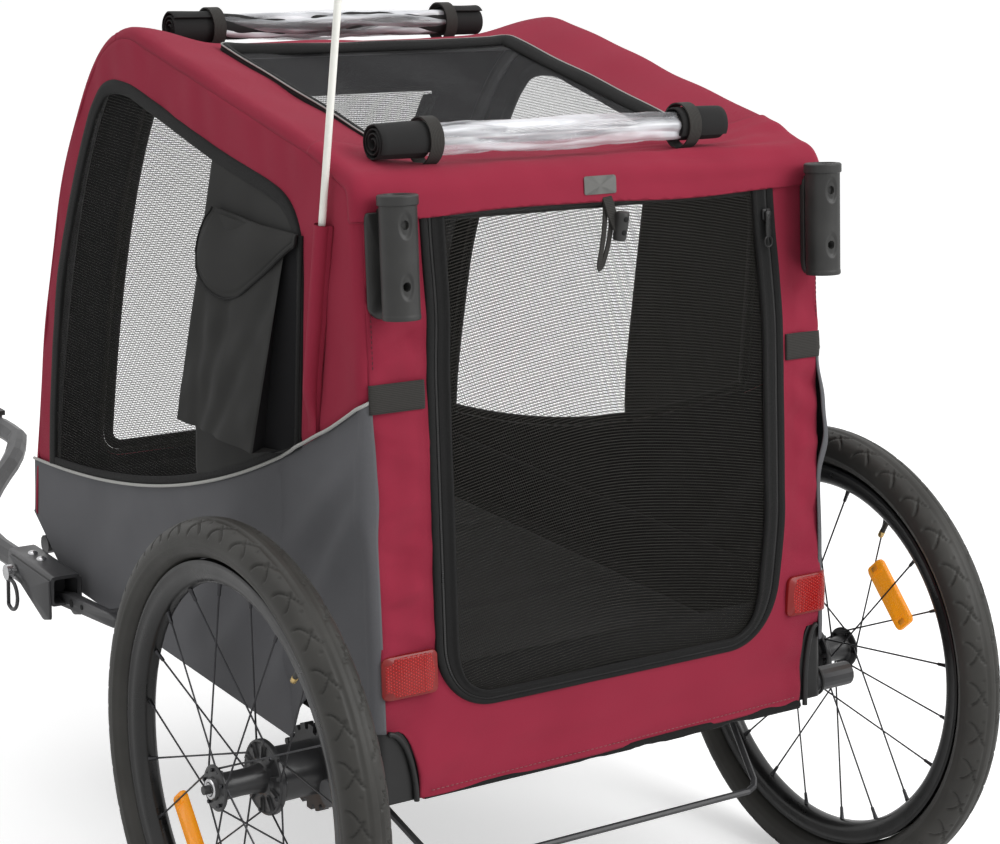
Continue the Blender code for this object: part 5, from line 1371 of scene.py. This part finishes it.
pocket = dict(rear=0.064, front=0.216, low=0.536, high=0.738, deepRear=(0.003, 0.034),
              deepFront=(0.008, 0.036),
              thick=0.0030)
backing = dict(top=[(0.0565, 0.655), (0.060, 0.722), (0.070, 0.750), (0.092, 0.770), (0.130, 0.780),
                    (0.240, 0.797)],
               front=[(0.255, 0.440), (0.2640, 0.470), (0.2655, 0.520), (0.258, 0.620), (0.2494, 0.7287),
                      (0.2337, 0.788), (0.231, 0.80)])
sleeve = dict(long=0.206, radius=0.0070, flange=0.0012)
pole = dict(x=-(halfWidth + 0.0075 + 0.0004), foot=(0.0315, 0.556), lean=0.100, long=0.796, radius=0.0034)
pennant = dict(depth=0.190, height=0.230, drop=0.010)
strap = dict(low=0.600, high=0.626, inner=0.2075, outer=0.2640, thick=0.0016)
label = dict(x=(-0.026, 0.011), z=(0.7785, 0.7945), thick=0.0008)
toggle = dict(x=0.010, z=0.748, long=0.028, radius=0.0065)


def pocketDepth(y, up):
    # how far the bag's face stands off the wall: nothing at its top, deep at its foot
    m = pocket
    fall = 1 - np.clip(up, 0, 1)
    rear = m["deepRear"][0] + m["deepRear"][1] * fall
    front = m["deepFront"][0] + m["deepFront"][1] * fall ** 0.8
    return rear + (front - rear) * np.clip((y - m["rear"]) / (m["front"] - m["rear"]), 0, 1.1)


def makePocket(side, name):
    # black cloth that fills the rear of the window and carries the pocket
    u, v = np.linspace(0, 1, 60)[None], np.linspace(0, 1, 80)[:, None]
    y = backing["top"][0][0] + 0.2 * u + 0 * v
    for _ in range(3):
        z = pipingHeight(y) + v * (np.interp(y, *np.array(backing["top"]).T) - pipingHeight(y))
        ahead = np.interp(z, *np.array(backing["front"])[:, ::-1].T)
        y = backing["top"][0][0] + u * (ahead - backing["top"][0][0])
    out = 0.0008 + 0.0012 * folds(y, z, 0.09, 113) * np.sin(math.pi * u)
    makePiece(name + "WindowCloth", [dict(points=onSide(side, y, z, out), flip=side < 0)], [pocketCloth],
              "cabin",
              shell=0.0010)
    # bag: from the wall out along a folded-in gusset, over the face and back to the wall in front
    m = pocket
    up = np.linspace(0, 1, 56)[:, None]
    knots = [0.0, 0.10, 0.19, 0.215, 0.50, 0.86, 0.90, 1.0]
    t = np.unique(np.concatenate([np.linspace(0, 1, 90), knots]))[None]
    y = np.interp(t, knots, [m["rear"], 0.089, 0.0790, 0.0800, 0.150, 0.2190, 0.2225, m["front"]]) + 0 * up
    y = y + 0.010 * (1 - up) * np.interp(t, [0, 0.10, 0.19], [0, 0.5, 0.0])
    share = np.interp(t, knots, [0.0, 0.42, 0.97, 1.0, 1.05, 0.99, 0.93, 0.0])
    z = m["low"] + (m["high"] - m["low"]) * up - 0.006 * (1 - share) * (1 - up) + 0 * t
    z = np.maximum(z, pipingHeight(y) + 0.0035 + 0.004 * up)
    face = np.interp(t, [0.19, 0.26, 0.80, 0.90], [0, 1, 1, 0])
    out = pocketDepth(y, up) * share + 0.0016 * folds(y, z, 0.05, 111) * face
    for shift, tilt, deep, wide in ((0.118, -0.42, 0.0040, 0.012), (0.165, -0.16, 0.0032, 0.010),
                                    (0.196, 0.10, 0.0022, 0.009)):
        off = y - shift - (z - 0.62) * tilt
        out = out - deep * np.exp(-(off / wide) ** 2) * face * (1 - up) ** 0.6
    out = np.maximum(out, 0) + 0.0016
    bag = onSide(side, y, z, out)
    back = onSide(side, y, z - 0.001, 0.0014 + 0 * out)
    # the folded-in gusset takes the near-black lining finish as painted shade
    split = int(np.searchsorted(t[0], 0.19)) + 1
    grids = [dict(points=bag[:, :split], mat=1), dict(points=bag[:, split - 1:]), dict(points=back),
             *rims(bag, back)]
    makePiece(name + "Pocket", grids, [pocketCloth, liningAndShadeCloth], "cabin", [name + "_pocket"],
              closed=True, sharp=50)
    # seam tape behind the gusset, from the flap's corner down to the piping
    strip = []
    for d, h in ((-0.0010, 0.0010), (-0.0015, 0.0030), (-0.0045, 0.0036), (-0.0080, 0.0030),
                 (-0.0085, 0.0010)):
        seamY = m["rear"] + d
        seamZ = np.linspace(pipingHeight(seamY) + 0.0012, m["high"] + 0.004, 60)
        strip.append(onSide(side, seamY, seamZ, h))
    makePiece(name + "PocketSeam", [dict(points=np.stack(strip), wrapRows=True)], [blackTape], "cabin",
              closed=True)


def makePocketFlap(side, name):
    # flap sewn on above the bag: its foot runs from low in front up to the bag's rear corner
    m = pocket
    v, w = np.linspace(0, 1, 44)[:, None], np.linspace(-1, 1, 90)[None]
    drop = np.interp(w, [-1, -0.72, -0.30, 0.02, 0.30, 0.58, 0.80, 0.93, 1.0],
                     [0.009, 0.025, 0.053, 0.0725, 0.0785, 0.0765, 0.067, 0.053, 0.040])
    drop = np.convolve(np.pad(drop[0], 4, mode="edge"), np.ones(9) / 9, "valid")[None]
    middle, half = (m["rear"] + m["front"]) / 2 - 0.0005, (m["front"] - m["rear"]) / 2 + 0.0035
    y = middle + w * half + 0.013 * ramp(w, 0.45, 1.0) * ramp(v, 0.0, 0.7)
    z = m["high"] + 0.0045 - drop * v - 0.002 * (1 - w ** 2) * (1 - v)
    up = (z - m["low"]) / (m["high"] - m["low"])
    out = pocketDepth(y, up) * ramp(v, -0.30, 0.25) + 0.0036 + 0.0012 * folds(y, z, 0.06, 122)
    out = out + 0.0035 * np.sin(v * math.pi) * (1 - w ** 2) - 0.0030 * ramp(w, 0.86, 1.0) * ramp(v, 0.2, 0.6)
    near = np.minimum((1 - np.abs(w)) * half, (1 - v) * drop)
    out = out - 0.0007 * np.exp(-((near - 0.0055) / 0.0012) ** 2)
    outer = onSide(side, y, z, out)
    inner = onSide(side, y, z, out - m["thick"] * (0.55 + 0.45 * ramp(near, 0, 0.006)))
    grids = [dict(points=outer), dict(points=inner), *rims(outer, inner)]
    body = name + "_flap"
    makePiece(name + "PocketFlap", grids, [pocketCloth], body, [name + "_pocket_flap"],
              closed=True)
    edge = evenly(np.concatenate([outer[:, 0], outer[-1, 1:-1], outer[::-1, -1]]), 180)
    makePiece(name + "FlapBinding", [tube(edge, 0.0014, 8, (side, 0.1, 0.1))], [blackTape], body,
              closed=True)


def poleAt(t):
    y, z = pole["foot"]
    up = unit(np.array([0, -pole["lean"], 1.0]))
    return np.array([pole["x"], y, z]) + up * np.asarray(t)[..., None]


def makeSleeve():
    # channel of burgundy cloth round the pole with a sewn flange at each side
    t = np.linspace(0.0085, sleeve["long"], 60)
    r, f = sleeve["radius"], sleeve["flange"]
    base = -(abs(pole["x"]) - halfWidth) + 0.0004
    a = np.linspace(math.pi * 1.18, -math.pi * 0.18, 30)
    over = np.stack([r * np.cos(a), r * np.sin(a)], 1)
    outer = np.vstack([[(-r - f, base), (-r - f, base + 0.0012), (-r - 0.0016, base + 0.0016)], over,
                       [(r + 0.0016, base + 0.0016), (r + f, base + 0.0012), (r + f, base)]])
    hollow = np.stack([(r - 0.0012) * np.cos(a[::-1]), (r - 0.0012) * np.sin(a[::-1])], 1)
    section = np.vstack([outer, [(r * 0.6, base)], hollow[2:-2], [(-r * 0.6, base)]])
    wob = 1 + 0.06 * folds(np.linspace(0, 0.2, 60), np.zeros(60), 0.04, 131)
    profile = section[None] * np.stack([wob, np.ones(60)], 1)[:, None, :]
    flat = 0.28 + 0.72 * ramp(t, 0.010, 0.055)[:, None]
    profile[..., 1] = base + (profile[..., 1] - base) * flat  # sewn down flat at its foot
    grid = dict(points=swept(poleAt(t), profile, (-1.0, 0.0, 0.0)), wrapCols=True)
    makePiece("poleSleeve", [grid], [burgundyCloth], "cabin", ["flag_sleeve"], closed=True)
    # rod of the pole, from inside the sleeve up, and the cap on its tip
    rod = tube(poleAt(np.array([0.050, 0.051, 0.3, 0.6, pole["long"] - 0.004])),
               [0.0024] + [pole["radius"]] * 4, 20)
    makePiece("poleRod", [rod], [glassFibre], "flag", ["flag_pole"], closed=True)
    tip = poleAt(pole["long"] + np.array([-0.010, -0.0095, 0.0, 0.0025, 0.0040]))
    makePiece("poleTip", [tube(tip, [0.0036, 0.0048, 0.0048, 0.0040, 0.0022], 16)], [flagCloth], "flag",
              closed=True)


def makePennant():
    # three-cornered flag: straight runs from points up the pole to its tip, with a hem round the pole
    m = pennant
    top = pole["long"] - m["drop"]
    v = np.linspace(0, 1, 46)
    base = poleAt(top - m["height"] * (1 - v)) + np.array([0, -0.0040, 0])
    apex = (base[0] + base[-1]) / 2 + np.array([0, -m["depth"] + 0.0015, -0.020])
    u = np.linspace(0, 1, 60)[None, :, None]
    points = base[:, None] * (1 - u) + apex * u
    swing = 0.0065 * np.sin(u[..., 0] * 7.5 + 1.4 * v[:, None]) * ramp(u[..., 0], 0, 0.5)
    points = points + np.stack([swing, 0 * swing, 0 * swing], -1)
    flag = makePiece("pennantCloth", [dict(points=points)], [flagCloth], "flag", ["pennant"])
    hemPath = poleAt(np.linspace(top - m["height"], top, 50))
    ring = swept(hemPath, circle(0.0046, 16), (1.0, 0.0, 0.0))
    hemPiece = makePiece("pennantHem", [dict(points=ring, wrapCols=True)], [flagCloth], "flag",
                         shell=0.0006)


def cornerStrap(side):
    # webbing from under the door's border round the rear corner onto the side
    x = np.linspace(strap["inner"], strap["outer"], 30)
    z = np.linspace(strap["low"], strap["high"], 9)
    xx, zz = np.meshgrid(x, z)
    bump = 0.0011 + 0.0007 * np.sin((zz - strap["low"]) / (strap["high"] - strap["low"]) * math.pi)
    front, back = onRear(side * xx, zz, bump + strap["thick"]), onRear(side * xx, zz)
    return [dict(points=front), dict(points=back), *rims(front, back)]


def makeStraps():
    for side, name in bothSides:
        makePiece(name + "CornerStrap", cornerStrap(side), [strapTape], "cabin", closed=True)
    # bare label above the hem
    (x0, x1), (z0, z1), thick = label["x"], label["z"], label["thick"]
    lift = hem["proud"] + 0.0014 + thick / 2
    loop = roundedLoop((x0, z0), (x1, z1), [0.002] * 4, 20)
    patch = slab(loop, thick, lambda u, v, d: onRear(u, v, lift + d), thick * 0.4)
    makePiece("rearLabel", [patch], [labelCloth], "cabin", closed=True)


def webbingAlong(path, section):
    # webbing carried along a path over the rear wall, closed at both ends
    band = swept(path, section, (0.0, -1.0, 0.12))
    caps = [np.stack([band[k], np.repeat(band[k].mean(0)[None], len(section), 0)]) for k in (0, -1)]
    return [dict(points=points, wrapCols=True) for points in (band, *caps)]


def makeToggle():
    # loop of webbing that hangs from under the hem, a flat ribbon beside it, and a barrel toggle on the
    # ribbon
    z = np.array([0.778, 0.766, 0.750, 0.733, 0.718, 0.7105, 0.7095, 0.7115, 0.720, 0.735, 0.752, 0.768,
                  0.778])
    x = np.array([-10, -20, -50, -90, -125, -132, -120, -100, -62, -15, 20, 20, 8]) * 1e-4
    out = np.array([20, 45, 70, 85, 85, 78, 70, 72, 80, 84, 76, 52, 30]) * 1e-4
    path = smoothLine(onRear(x, z, out), 90)
    u, v = 0.0025, 0.0007
    section = [(-u, -v), (-u * 0.9, v), (u * 0.9, v), (u, -v)]
    fall = np.array([[2, 7790, 22], [12, 7700, 60], [28, 7590, 92], [70, 7470, 118], [100, 7400, 125]]) * 1e-4
    ribbon = smoothLine(onRear(fall[:, 0] + toggle["x"] - 0.0100, fall[:, 1], fall[:, 2]), 40)
    grids = webbingAlong(path, section) + webbingAlong(ribbon, np.array(section) * [2.3, 1.0])
    makePiece("toggleLoop", grids, [strapTape], "rear_flap_door", closed=True, sharp=50)
    middle = onRear(np.array(toggle["x"]), toggle["z"], 0.0125)
    way = unit(np.array([0.12, 0.0, 1.0]))
    t = np.array([-0.5, -0.49, -0.44, -0.30, 0.30, 0.44, 0.49, 0.5]) * toggle["long"]
    r = np.array([0.55, 0.80, 0.97, 1.0, 1.0, 0.97, 0.80, 0.55]) * toggle["radius"]
    grids = [tube(middle + way * t[:, None], r, 28)]
    # dark discs on the barrel: painted shade where its holes are
    for k in (-1, 1):
        spot = middle + way * 0.0062 * k + np.array([0, -toggle["radius"] + 0.0004, 0.001])
        grids.append(dict(tube(spot + np.array([0, -1.0, 0]) * np.array([0, 0.0003, 0.0008])[:, None],
                               [0.0026, 0.0026, 0.0022], 16), mat=1))
    makePiece("toggleBarrel", grids, [socketPlastic, paintedHoleShade], "rear_flap_door", closed=True)


def makeSlider():
    # zip slider: arched body with a bridge, and a long flat pull with a ring hole at its foot
    x = door["half"] - 0.0085 - door["taper"]
    top, low = door["high"] - 0.023, door["high"] - 0.035
    body = roundedLoop((-0.0050, -0.0060), (0.0050, 0.0060), [0.0035, 0.0035, 0.0020, 0.0020], 16)
    spot = (x, (top + low) / 2)
    grids = [slab(body, 0.0022, lambda u, v, d: onRear(spot[0] + u, spot[1] + v, 0.0034 + d), 0.0008)]
    bridge = onRear(np.full(9, x), spot[1] + np.linspace(0.0045, -0.0045, 9),
                    0.0040 + 0.0030 * np.sin(np.linspace(0, math.pi, 9)))
    grids.append(tube(bridge, 0.0011, 10))
    pull = roundedLoop((-0.0034, -0.0130), (0.0034, 0.0130), [0.0033, 0.0033, 0.0020, 0.0020], 16)
    hang = (x, top - 0.0150)
    grids.append(slab(pull, 0.0018, lambda u, v, d: onRear(hang[0] + u, hang[1] + v, 0.0066 + d), 0.0006))
    a = np.linspace(0, tau, 25)
    ringLine = onRear(x + 0.0046 * np.sin(a), hang[1] - 0.0170 + 0.0052 * np.cos(a), np.full(25, 0.0064))
    grids.append(tube(ringLine, 0.0009, 8, (0, -1.0, 0.1)))
    makePiece("rearZipSlider", grids, [zipTeeth], "zip_pull", ["rear_zip_slider"], closed=True)


for side, name in bothSides:
    makePocket(side, name)
    makePocketFlap(side, name)
makeSleeve()
makePennant()
makeStraps()
makeToggle()
makeSlider()
print("pockets, flag and sewn pieces are made")


# Sockets, reflectors, corner covers, floor and frame

socket = dict(x=halfWidth - 0.0245, top=(-0.0615, 0.7975), bottom=(-0.0745, 0.6890), radius=0.0170,
              bore=0.0122,
              face=(-0.16, -1.0, 0.0), hole=0.0036, holes=(0.275, 0.765), oval=(0.0072, 0.0135))
reflector = dict(x=(-0.2340, 0.2440), z=0.3595, wide=0.0580, tall=0.0405, deep=0.0088)
bracket = dict(x=-0.300, z=0.262, half=0.0172, tube=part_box("left_side_tube")[0].x - 0.0006,
               cheek=[(0.633, 0.262), (0.628, 0.278), (0.518, 0.278), (0.5160, 0.234), (0.5330, 0.2285),
                      (0.6215, 0.262), (0.633, 0.262)],
               arm=[(0.560, 0.2490), (0.520, 0.2610), (0.412, 0.2720), (0.392, 0.2700), (0.392, 0.2610),
                    (0.415, 0.2575), (0.536, 0.2410), (0.555, 0.2400), (0.560, 0.2490)])


def makeSockets():
    # tube with a cap and two holes in oval hollows: the radius drops inside each oval and falls away in the
    # hole
    m, n = socket, 160
    bore = m["bore"]
    for side, name in bothSides:
        top, bottom = (np.array([side * m["x"], *m[k]]) for k in ("top", "bottom"))
        way, long = unit(top - bottom), np.linalg.norm(top - bottom)
        across = unit(np.cross(way, np.array(m["face"])))
        face = np.cross(across, way)
        t, a = np.linspace(0, 1, 200)[:, None], (np.arange(n) * tau / n)[None]
        r = m["radius"] + 0.0016 * ramp(t, 0.915, 0.922) - 0.0008 * ramp(t, 0.990, 1.0)
        r = r + 0.0004 * (1 - ramp(t, 0.03, 0.05)) - 0.0007 * (1 - ramp(t, 0.0, 0.012)) + 0 * a
        turn = np.mod(a + math.pi, tau) - math.pi
        for share in m["holes"]:
            u, v = m["radius"] * turn, (t - share) * long
            oval = np.sqrt((u / m["oval"][0]) ** 2 + (v / m["oval"][1]) ** 2)
            r = r - 0.0017 * (1 - ramp(oval, 0.62, 1.0))
            r = r - 0.0100 * (1 - ramp(np.hypot(u, v), m["hole"] - 0.0004, m["hole"] + 0.0004))
        # both ends go on inwards, down the bore
        t = np.concatenate([[[0.20], [0.20], [0.004], [0.0]], t, [[1.004], [1.004], [0.99], [0.70], [0.70]]])
        foot = np.array([[0.0, bore, bore, bore + 0.002]]).T + 0 * a
        head = np.array([[m["radius"] - 0.0002, bore + 0.001, bore, bore, 0.0]]).T + 0 * a
        r = np.concatenate([foot, r, head])
        ring = np.cos(a)[..., None] * face + np.sin(a)[..., None] * across
        grids = [dict(points=bottom + way * (t * long)[..., None] + ring * r[..., None], wrapCols=True)]
        # base plate on the cloth, and the web between the two
        loop = roundedLoop((-0.0135, -0.047), (0.0135, 0.047), [0.012, 0.012, 0.003, 0.003], 24)
        x = side * 0.2490
        grids.append(slab(loop, 0.0060, lambda u, v, d: onRear(x + u, 0.731 + v, 0.0035 + d), 0.0012))
        web = roundedLoop((-0.0062, -0.043), (0.0062, 0.043), [0.002] * 4, 16)
        rows = [onRear(side * m["x"] + web[:, 0], 0.738 + web[:, 1], h) for h in (0.004, 0.012, 0.021)]
        grids.append(dict(points=np.stack(rows), wrapCols=True))
        makePiece(name + "HandleSocket", grids, [socketPlastic], "cabin",
                  [name + "_handle_socket"], closed=True, sharp=40)


def makeReflectors():
    # housing with a lip, and a barrelled lens of three facets
    m = reflector
    for side, name in bothSides:
        x, z = m["x"][0 if side < 0 else 1], m["z"]
        loop = roundedLoop((-m["wide"] / 2, -m["tall"] / 2), (m["wide"] / 2, m["tall"] / 2), [0.006] * 4, 24)
        housing = slab(loop, 0.0050, lambda u, v, d: onRear(x + u, z + v, 0.0026 + d), 0.0006)
        s, t = np.linspace(-1, 1, 60)[:, None], np.linspace(-1, 1, 60)[None]
        k = 1 - 0.05 * np.maximum(np.abs(s) ** 9 + np.abs(t) ** 7 - 1, 0)  # takes the corners in a little
        u, v = s * (m["wide"] / 2 - 0.0014) * k, t * (m["tall"] / 2 - 0.0014) * k
        rise = m["deep"] - 0.0016 - 0.0026 * ramp(np.abs(s - 0.08), 0.40, 1.0) - 0.0008 * t ** 2
        rise = rise - 0.0024 * ramp(np.maximum(np.abs(s), np.abs(t)), 0.93, 1.0)
        groove = 0.0005 * (np.exp(-((s + 0.36) / 0.018) ** 2) + np.exp(-((s - 0.46) / 0.018) ** 2))
        lens, skirt = onRear(x + u, z + v, rise - groove), onRear(x + u, z + v, 0.0030)
        makePiece(name + "ReflectorLens", [dict(points=lens), *rims(lens, skirt), dict(points=skirt)],
                  [redLens],
                  "cabin", [name + "_rear_reflector"], closed=True)
        makePiece(name + "ReflectorHousing", [housing], [redHousing], "cabin", closed=True)


def makeCornerCovers():
    # dark cover that fills the notch under the cloth and goes round the corner, with a bound arch and a tube
    # ring
    for k, (side, name) in enumerate(bothSides):
        low, high, wide = notch["foot"][k] + 0.001, notch["high"][k], notch["wide"][k]
        flat = halfWidth - cabin["edgeRound"]
        x = np.linspace(halfWidth - wide - 0.006, flat + cabin["edgeRound"] * math.pi / 2 + 0.046, 70)[None]
        near = np.clip((flat - x) / (wide - 0.012 + 0.007), 0, 1)
        top = low + (high + 0.004 - low) * np.sqrt(1 - near ** 2)
        z = low + (top - low) * np.linspace(0, 1, 30)[:, None]
        sheet = onRear(side * x + 0 * z, z, -0.0018)
        makePiece(name + "CornerCover", [dict(points=sheet, flip=side < 0)], [cornerPlastic], "cabin",
                  [name + "_corner_cover"], shell=0.0020)
        a = np.linspace(0, math.pi / 2, 40)
        x = flat - (wide - 0.0125) * np.cos(a)
        z = low + (high - 0.0014 - low) * np.sin(a)
        line = np.concatenate([onRear(np.full(4, side * x[0]), np.linspace(low - 0.005, low - 0.001, 4),
                                      0.0006),
                               onRear(side * x, z, 0.0006 + 0 * x)])
        a = np.linspace(0, tau, 60)
        ring = np.stack([np.full(60, side * (halfWidth + 0.0006)), -0.080 + 0.0145 * np.cos(a),
                         0.258 + 0.0145 * np.sin(a)], 1)
        makePiece(name + "CornerBinding", [tube(line, 0.0027, 10), tube(ring, 0.0016, 8, (1, 0, 0))],
                  [cornerPlastic],
                  "cabin", closed=True)
    # rounded tongue below the hem
    loop = roundedLoop((0.1850, 0.2225), (0.2070, 0.2560), [0.009, 0.009, 0.001, 0.001], 20)
    makePiece("hemTongue", [slab(loop, 0.011, lambda u, v, d: onRear(u, v, -0.0078 + d), 0.002)],
              [cornerPlastic],
              "cabin", closed=True)


def makeStitches():
    # short dark stitches down the rear side seams and pale ones above the hem
    z = np.arange(0.640, 0.774, 0.0046)
    for side, name in bothSides:
        ends = np.stack([onRear(np.full(len(z), side * (seamRun - 0.0035)), z + d,
                                0.0022) for d in (0, 0.0027)], 1)
        makePiece(name + "SeamStitches", [tube(e, 0.00045, 6) for e in ends], [thread], "cabin",
                  closed=True)
    x = np.arange(-0.215, 0.225, 0.0052)
    z = np.interp(x, [-0.23, 0.24], notch["foot"]) + 0.0072
    ends = np.stack([onRear(x + d, z, 0.0026) for d in (0, 0.0032)], 1)
    makePiece("hemStitches", [tube(e, 0.00040, 6) for e in ends], [paleThread], "cabin",
              closed=True)


def makeFloorMat():
    # quilted pad: crowned, with two sewn channels and rounded edges
    lo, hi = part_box("floor_mat")
    lo, hi = np.array(lo) - [0, axleY, 0], np.array(hi) - [0, axleY, 0]
    u, v = np.meshgrid(np.linspace(-1, 1, 90), np.linspace(-1, 1, 130), indexing="ij")
    middle, half = (lo + hi) / 2, (hi - lo) / 2
    round_ = np.clip((1 - np.abs(u) ** 8) * (1 - np.abs(v) ** 10), 0, 1) ** 0.5
    channel = 1 - 0.45 * np.exp(-((np.abs(v) - 0.33) / 0.022) ** 2)
    thick = half[2] * round_ * channel * (0.92 + 0.08 * folds(u * 0.2, v * 0.3, 0.15, 141))
    x = middle[0] + u * half[0] * (1 - 0.012 * (1 - np.cos(v * 2)))
    y = middle[1] + v * half[1] * (1 - 0.008 * (1 - np.cos(u * 2)))
    grids = [dict(points=np.stack([x, y, middle[2] + thick], -1)),
             dict(points=np.stack([x, y, middle[2] - half[2] * round_ * 0.98], -1))]
    pad = makePiece("floorMat", grids, [matCloth], "cabin", ["floor_mat"], closed=True)


def makeTub():
    # the floor's cloth, turned up inside the side panels
    lo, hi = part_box("floor_panel")
    loops = []
    for inset, z in [(0.030, 0.0), *((0.0, up) for up in np.linspace(0, 0.070, 8))]:
        z += hi.z + 0.0010
        low = (-halfWidth + 0.0065 + inset, rearY(z) + 0.0080 + inset)
        high = (halfWidth - 0.0065 - inset, hi.y - axleY + 0.002 - inset)
        loops.append(np.column_stack([roundedLoop(low, high, [0.02] * 4, 60), np.full(240, z)]))
    grids = [dict(points=np.stack(loops), wrapCols=True)]
    makePiece("floorTub", grids, [liningAndShadeCloth], "cabin", shell=0.0012)


def makeBracket():
    # socket round the drawbar's rear end, two cheeks under it, a slim arm back to the side tube, rivets
    m = bracket
    x, z, half = m["x"], m["z"], m["half"]
    loop = roundedLoop((-half, -half), (half, half), [0.004] * 4, 12)
    ends = [(0.5170, 0.80), (0.5178, 1.0), (0.6345, 1.0), (0.6360, 0.97), (0.6360, 0.84), (0.52, 0.84)]
    rows = [np.column_stack([x + loop[:, 0] * k, np.full(48, y), z + 0.003 + loop[:, 1] * k]) for y,
            k in ends]
    grids = [dict(points=np.stack(rows), wrapCols=True)]
    for outline, count, thick, at, inset in ((m["cheek"], 80, 0.0035, x - half - 0.001, 0.0008),
                                             (m["cheek"], 80, 0.0035, x + half + 0.001, 0.0008),
                                             (m["arm"], 120, 0.012, x + 0.006, 0.002)):
        grids.append(slab(evenly(outline, count), thick, lambda u, v, d: np.stack([at + d, u, v], -1), inset))
    foot = roundedLoop((x + 0.008, 0.392), (m["tube"], 0.434), [0.004] * 4, 16)
    grids.append(slab(foot, 0.006, lambda u, v, d: np.stack([u, v, 0.2640 + d], -1), 0.001))
    rise = roundedLoop((0.394, 0.262), (0.432, 0.286), [0.003] * 4, 16)
    grids.append(slab(rise, 0.005, lambda u, v, d: np.stack([m["tube"] - 0.003 + d, u, v], -1), 0.001))
    dome = [(0.0, 0.0058), (0.0010, 0.0056), (0.0022, 0.0044), (0.0030, 0.0022), (0.0032, 0.0002)]
    grids += [dict(turned(dome, 24, (x, y, z + 0.003 + half), (0, 0, 1)), mat=1) for y in (0.606, 0.582)]
    # dark discs on the cheek: painted shade where its holes are
    for place, r in (((0.502, 0.2545), 0.0045), ((0.475, 0.2585), 0.0030)):
        hole = turned([(0, r), (0.0004, r), (0.0005, 0.0001)], 20, (x - 0.0002, *place), (-1, 0, 0))
        grids.append(dict(hole, mat=2))
    makePiece("drawbarBracket", grids, [powderCoat, chrome, paintedHoleShade], "cabin",
              ["drawbar_bracket"], closed=True, sharp=40)
    # D-shaped ring on the locking pin
    a, beside = np.linspace(-2.2, 2.2, 40), x - half - 0.010
    ring = np.stack([np.full(40, beside), 0.603 + 0.016 * np.cos(a + math.pi), 0.238 + 0.017 * np.sin(a)], 1)
    ring = np.vstack([ring, ring[:1]])
    pin = np.array([(beside, 0.612, 0.262), (beside, 0.612, 0.252)])
    makePiece("pinRing", [tube(ring, 0.0022, 12), tube(pin, 0.0030, 12)], [powderCoat], "clip_pin",
              closed=True)


def dressFrame():
    # the frame's own solids keep their shape and get a finish
    finish = {"frame_black": powderCoat, "floor_board": floorBoard, "brake_wire": powderCoat,
              "drawbar_black": powderCoat, "hitch_plastic": socketPlastic, "pin_steel": chrome,
              "steel": chrome,
              "button": buttonPlastic, "socket_plastic": socketPlastic, "corner_plastic": cornerPlastic,
              "pole": glassFibre}
    for thing in nodes.values():
        for place in thing.material_slots:
            if place.material:
                key = place.material.name.split(".")[0]
                if key in finish:
                    place.material = finish[key]


makeSockets()
makeReflectors()
makeCornerCovers()
makeStitches()
makeFloorMat()
makeTub()
makeBracket()
dressFrame()
print("frame and fittings are finished")
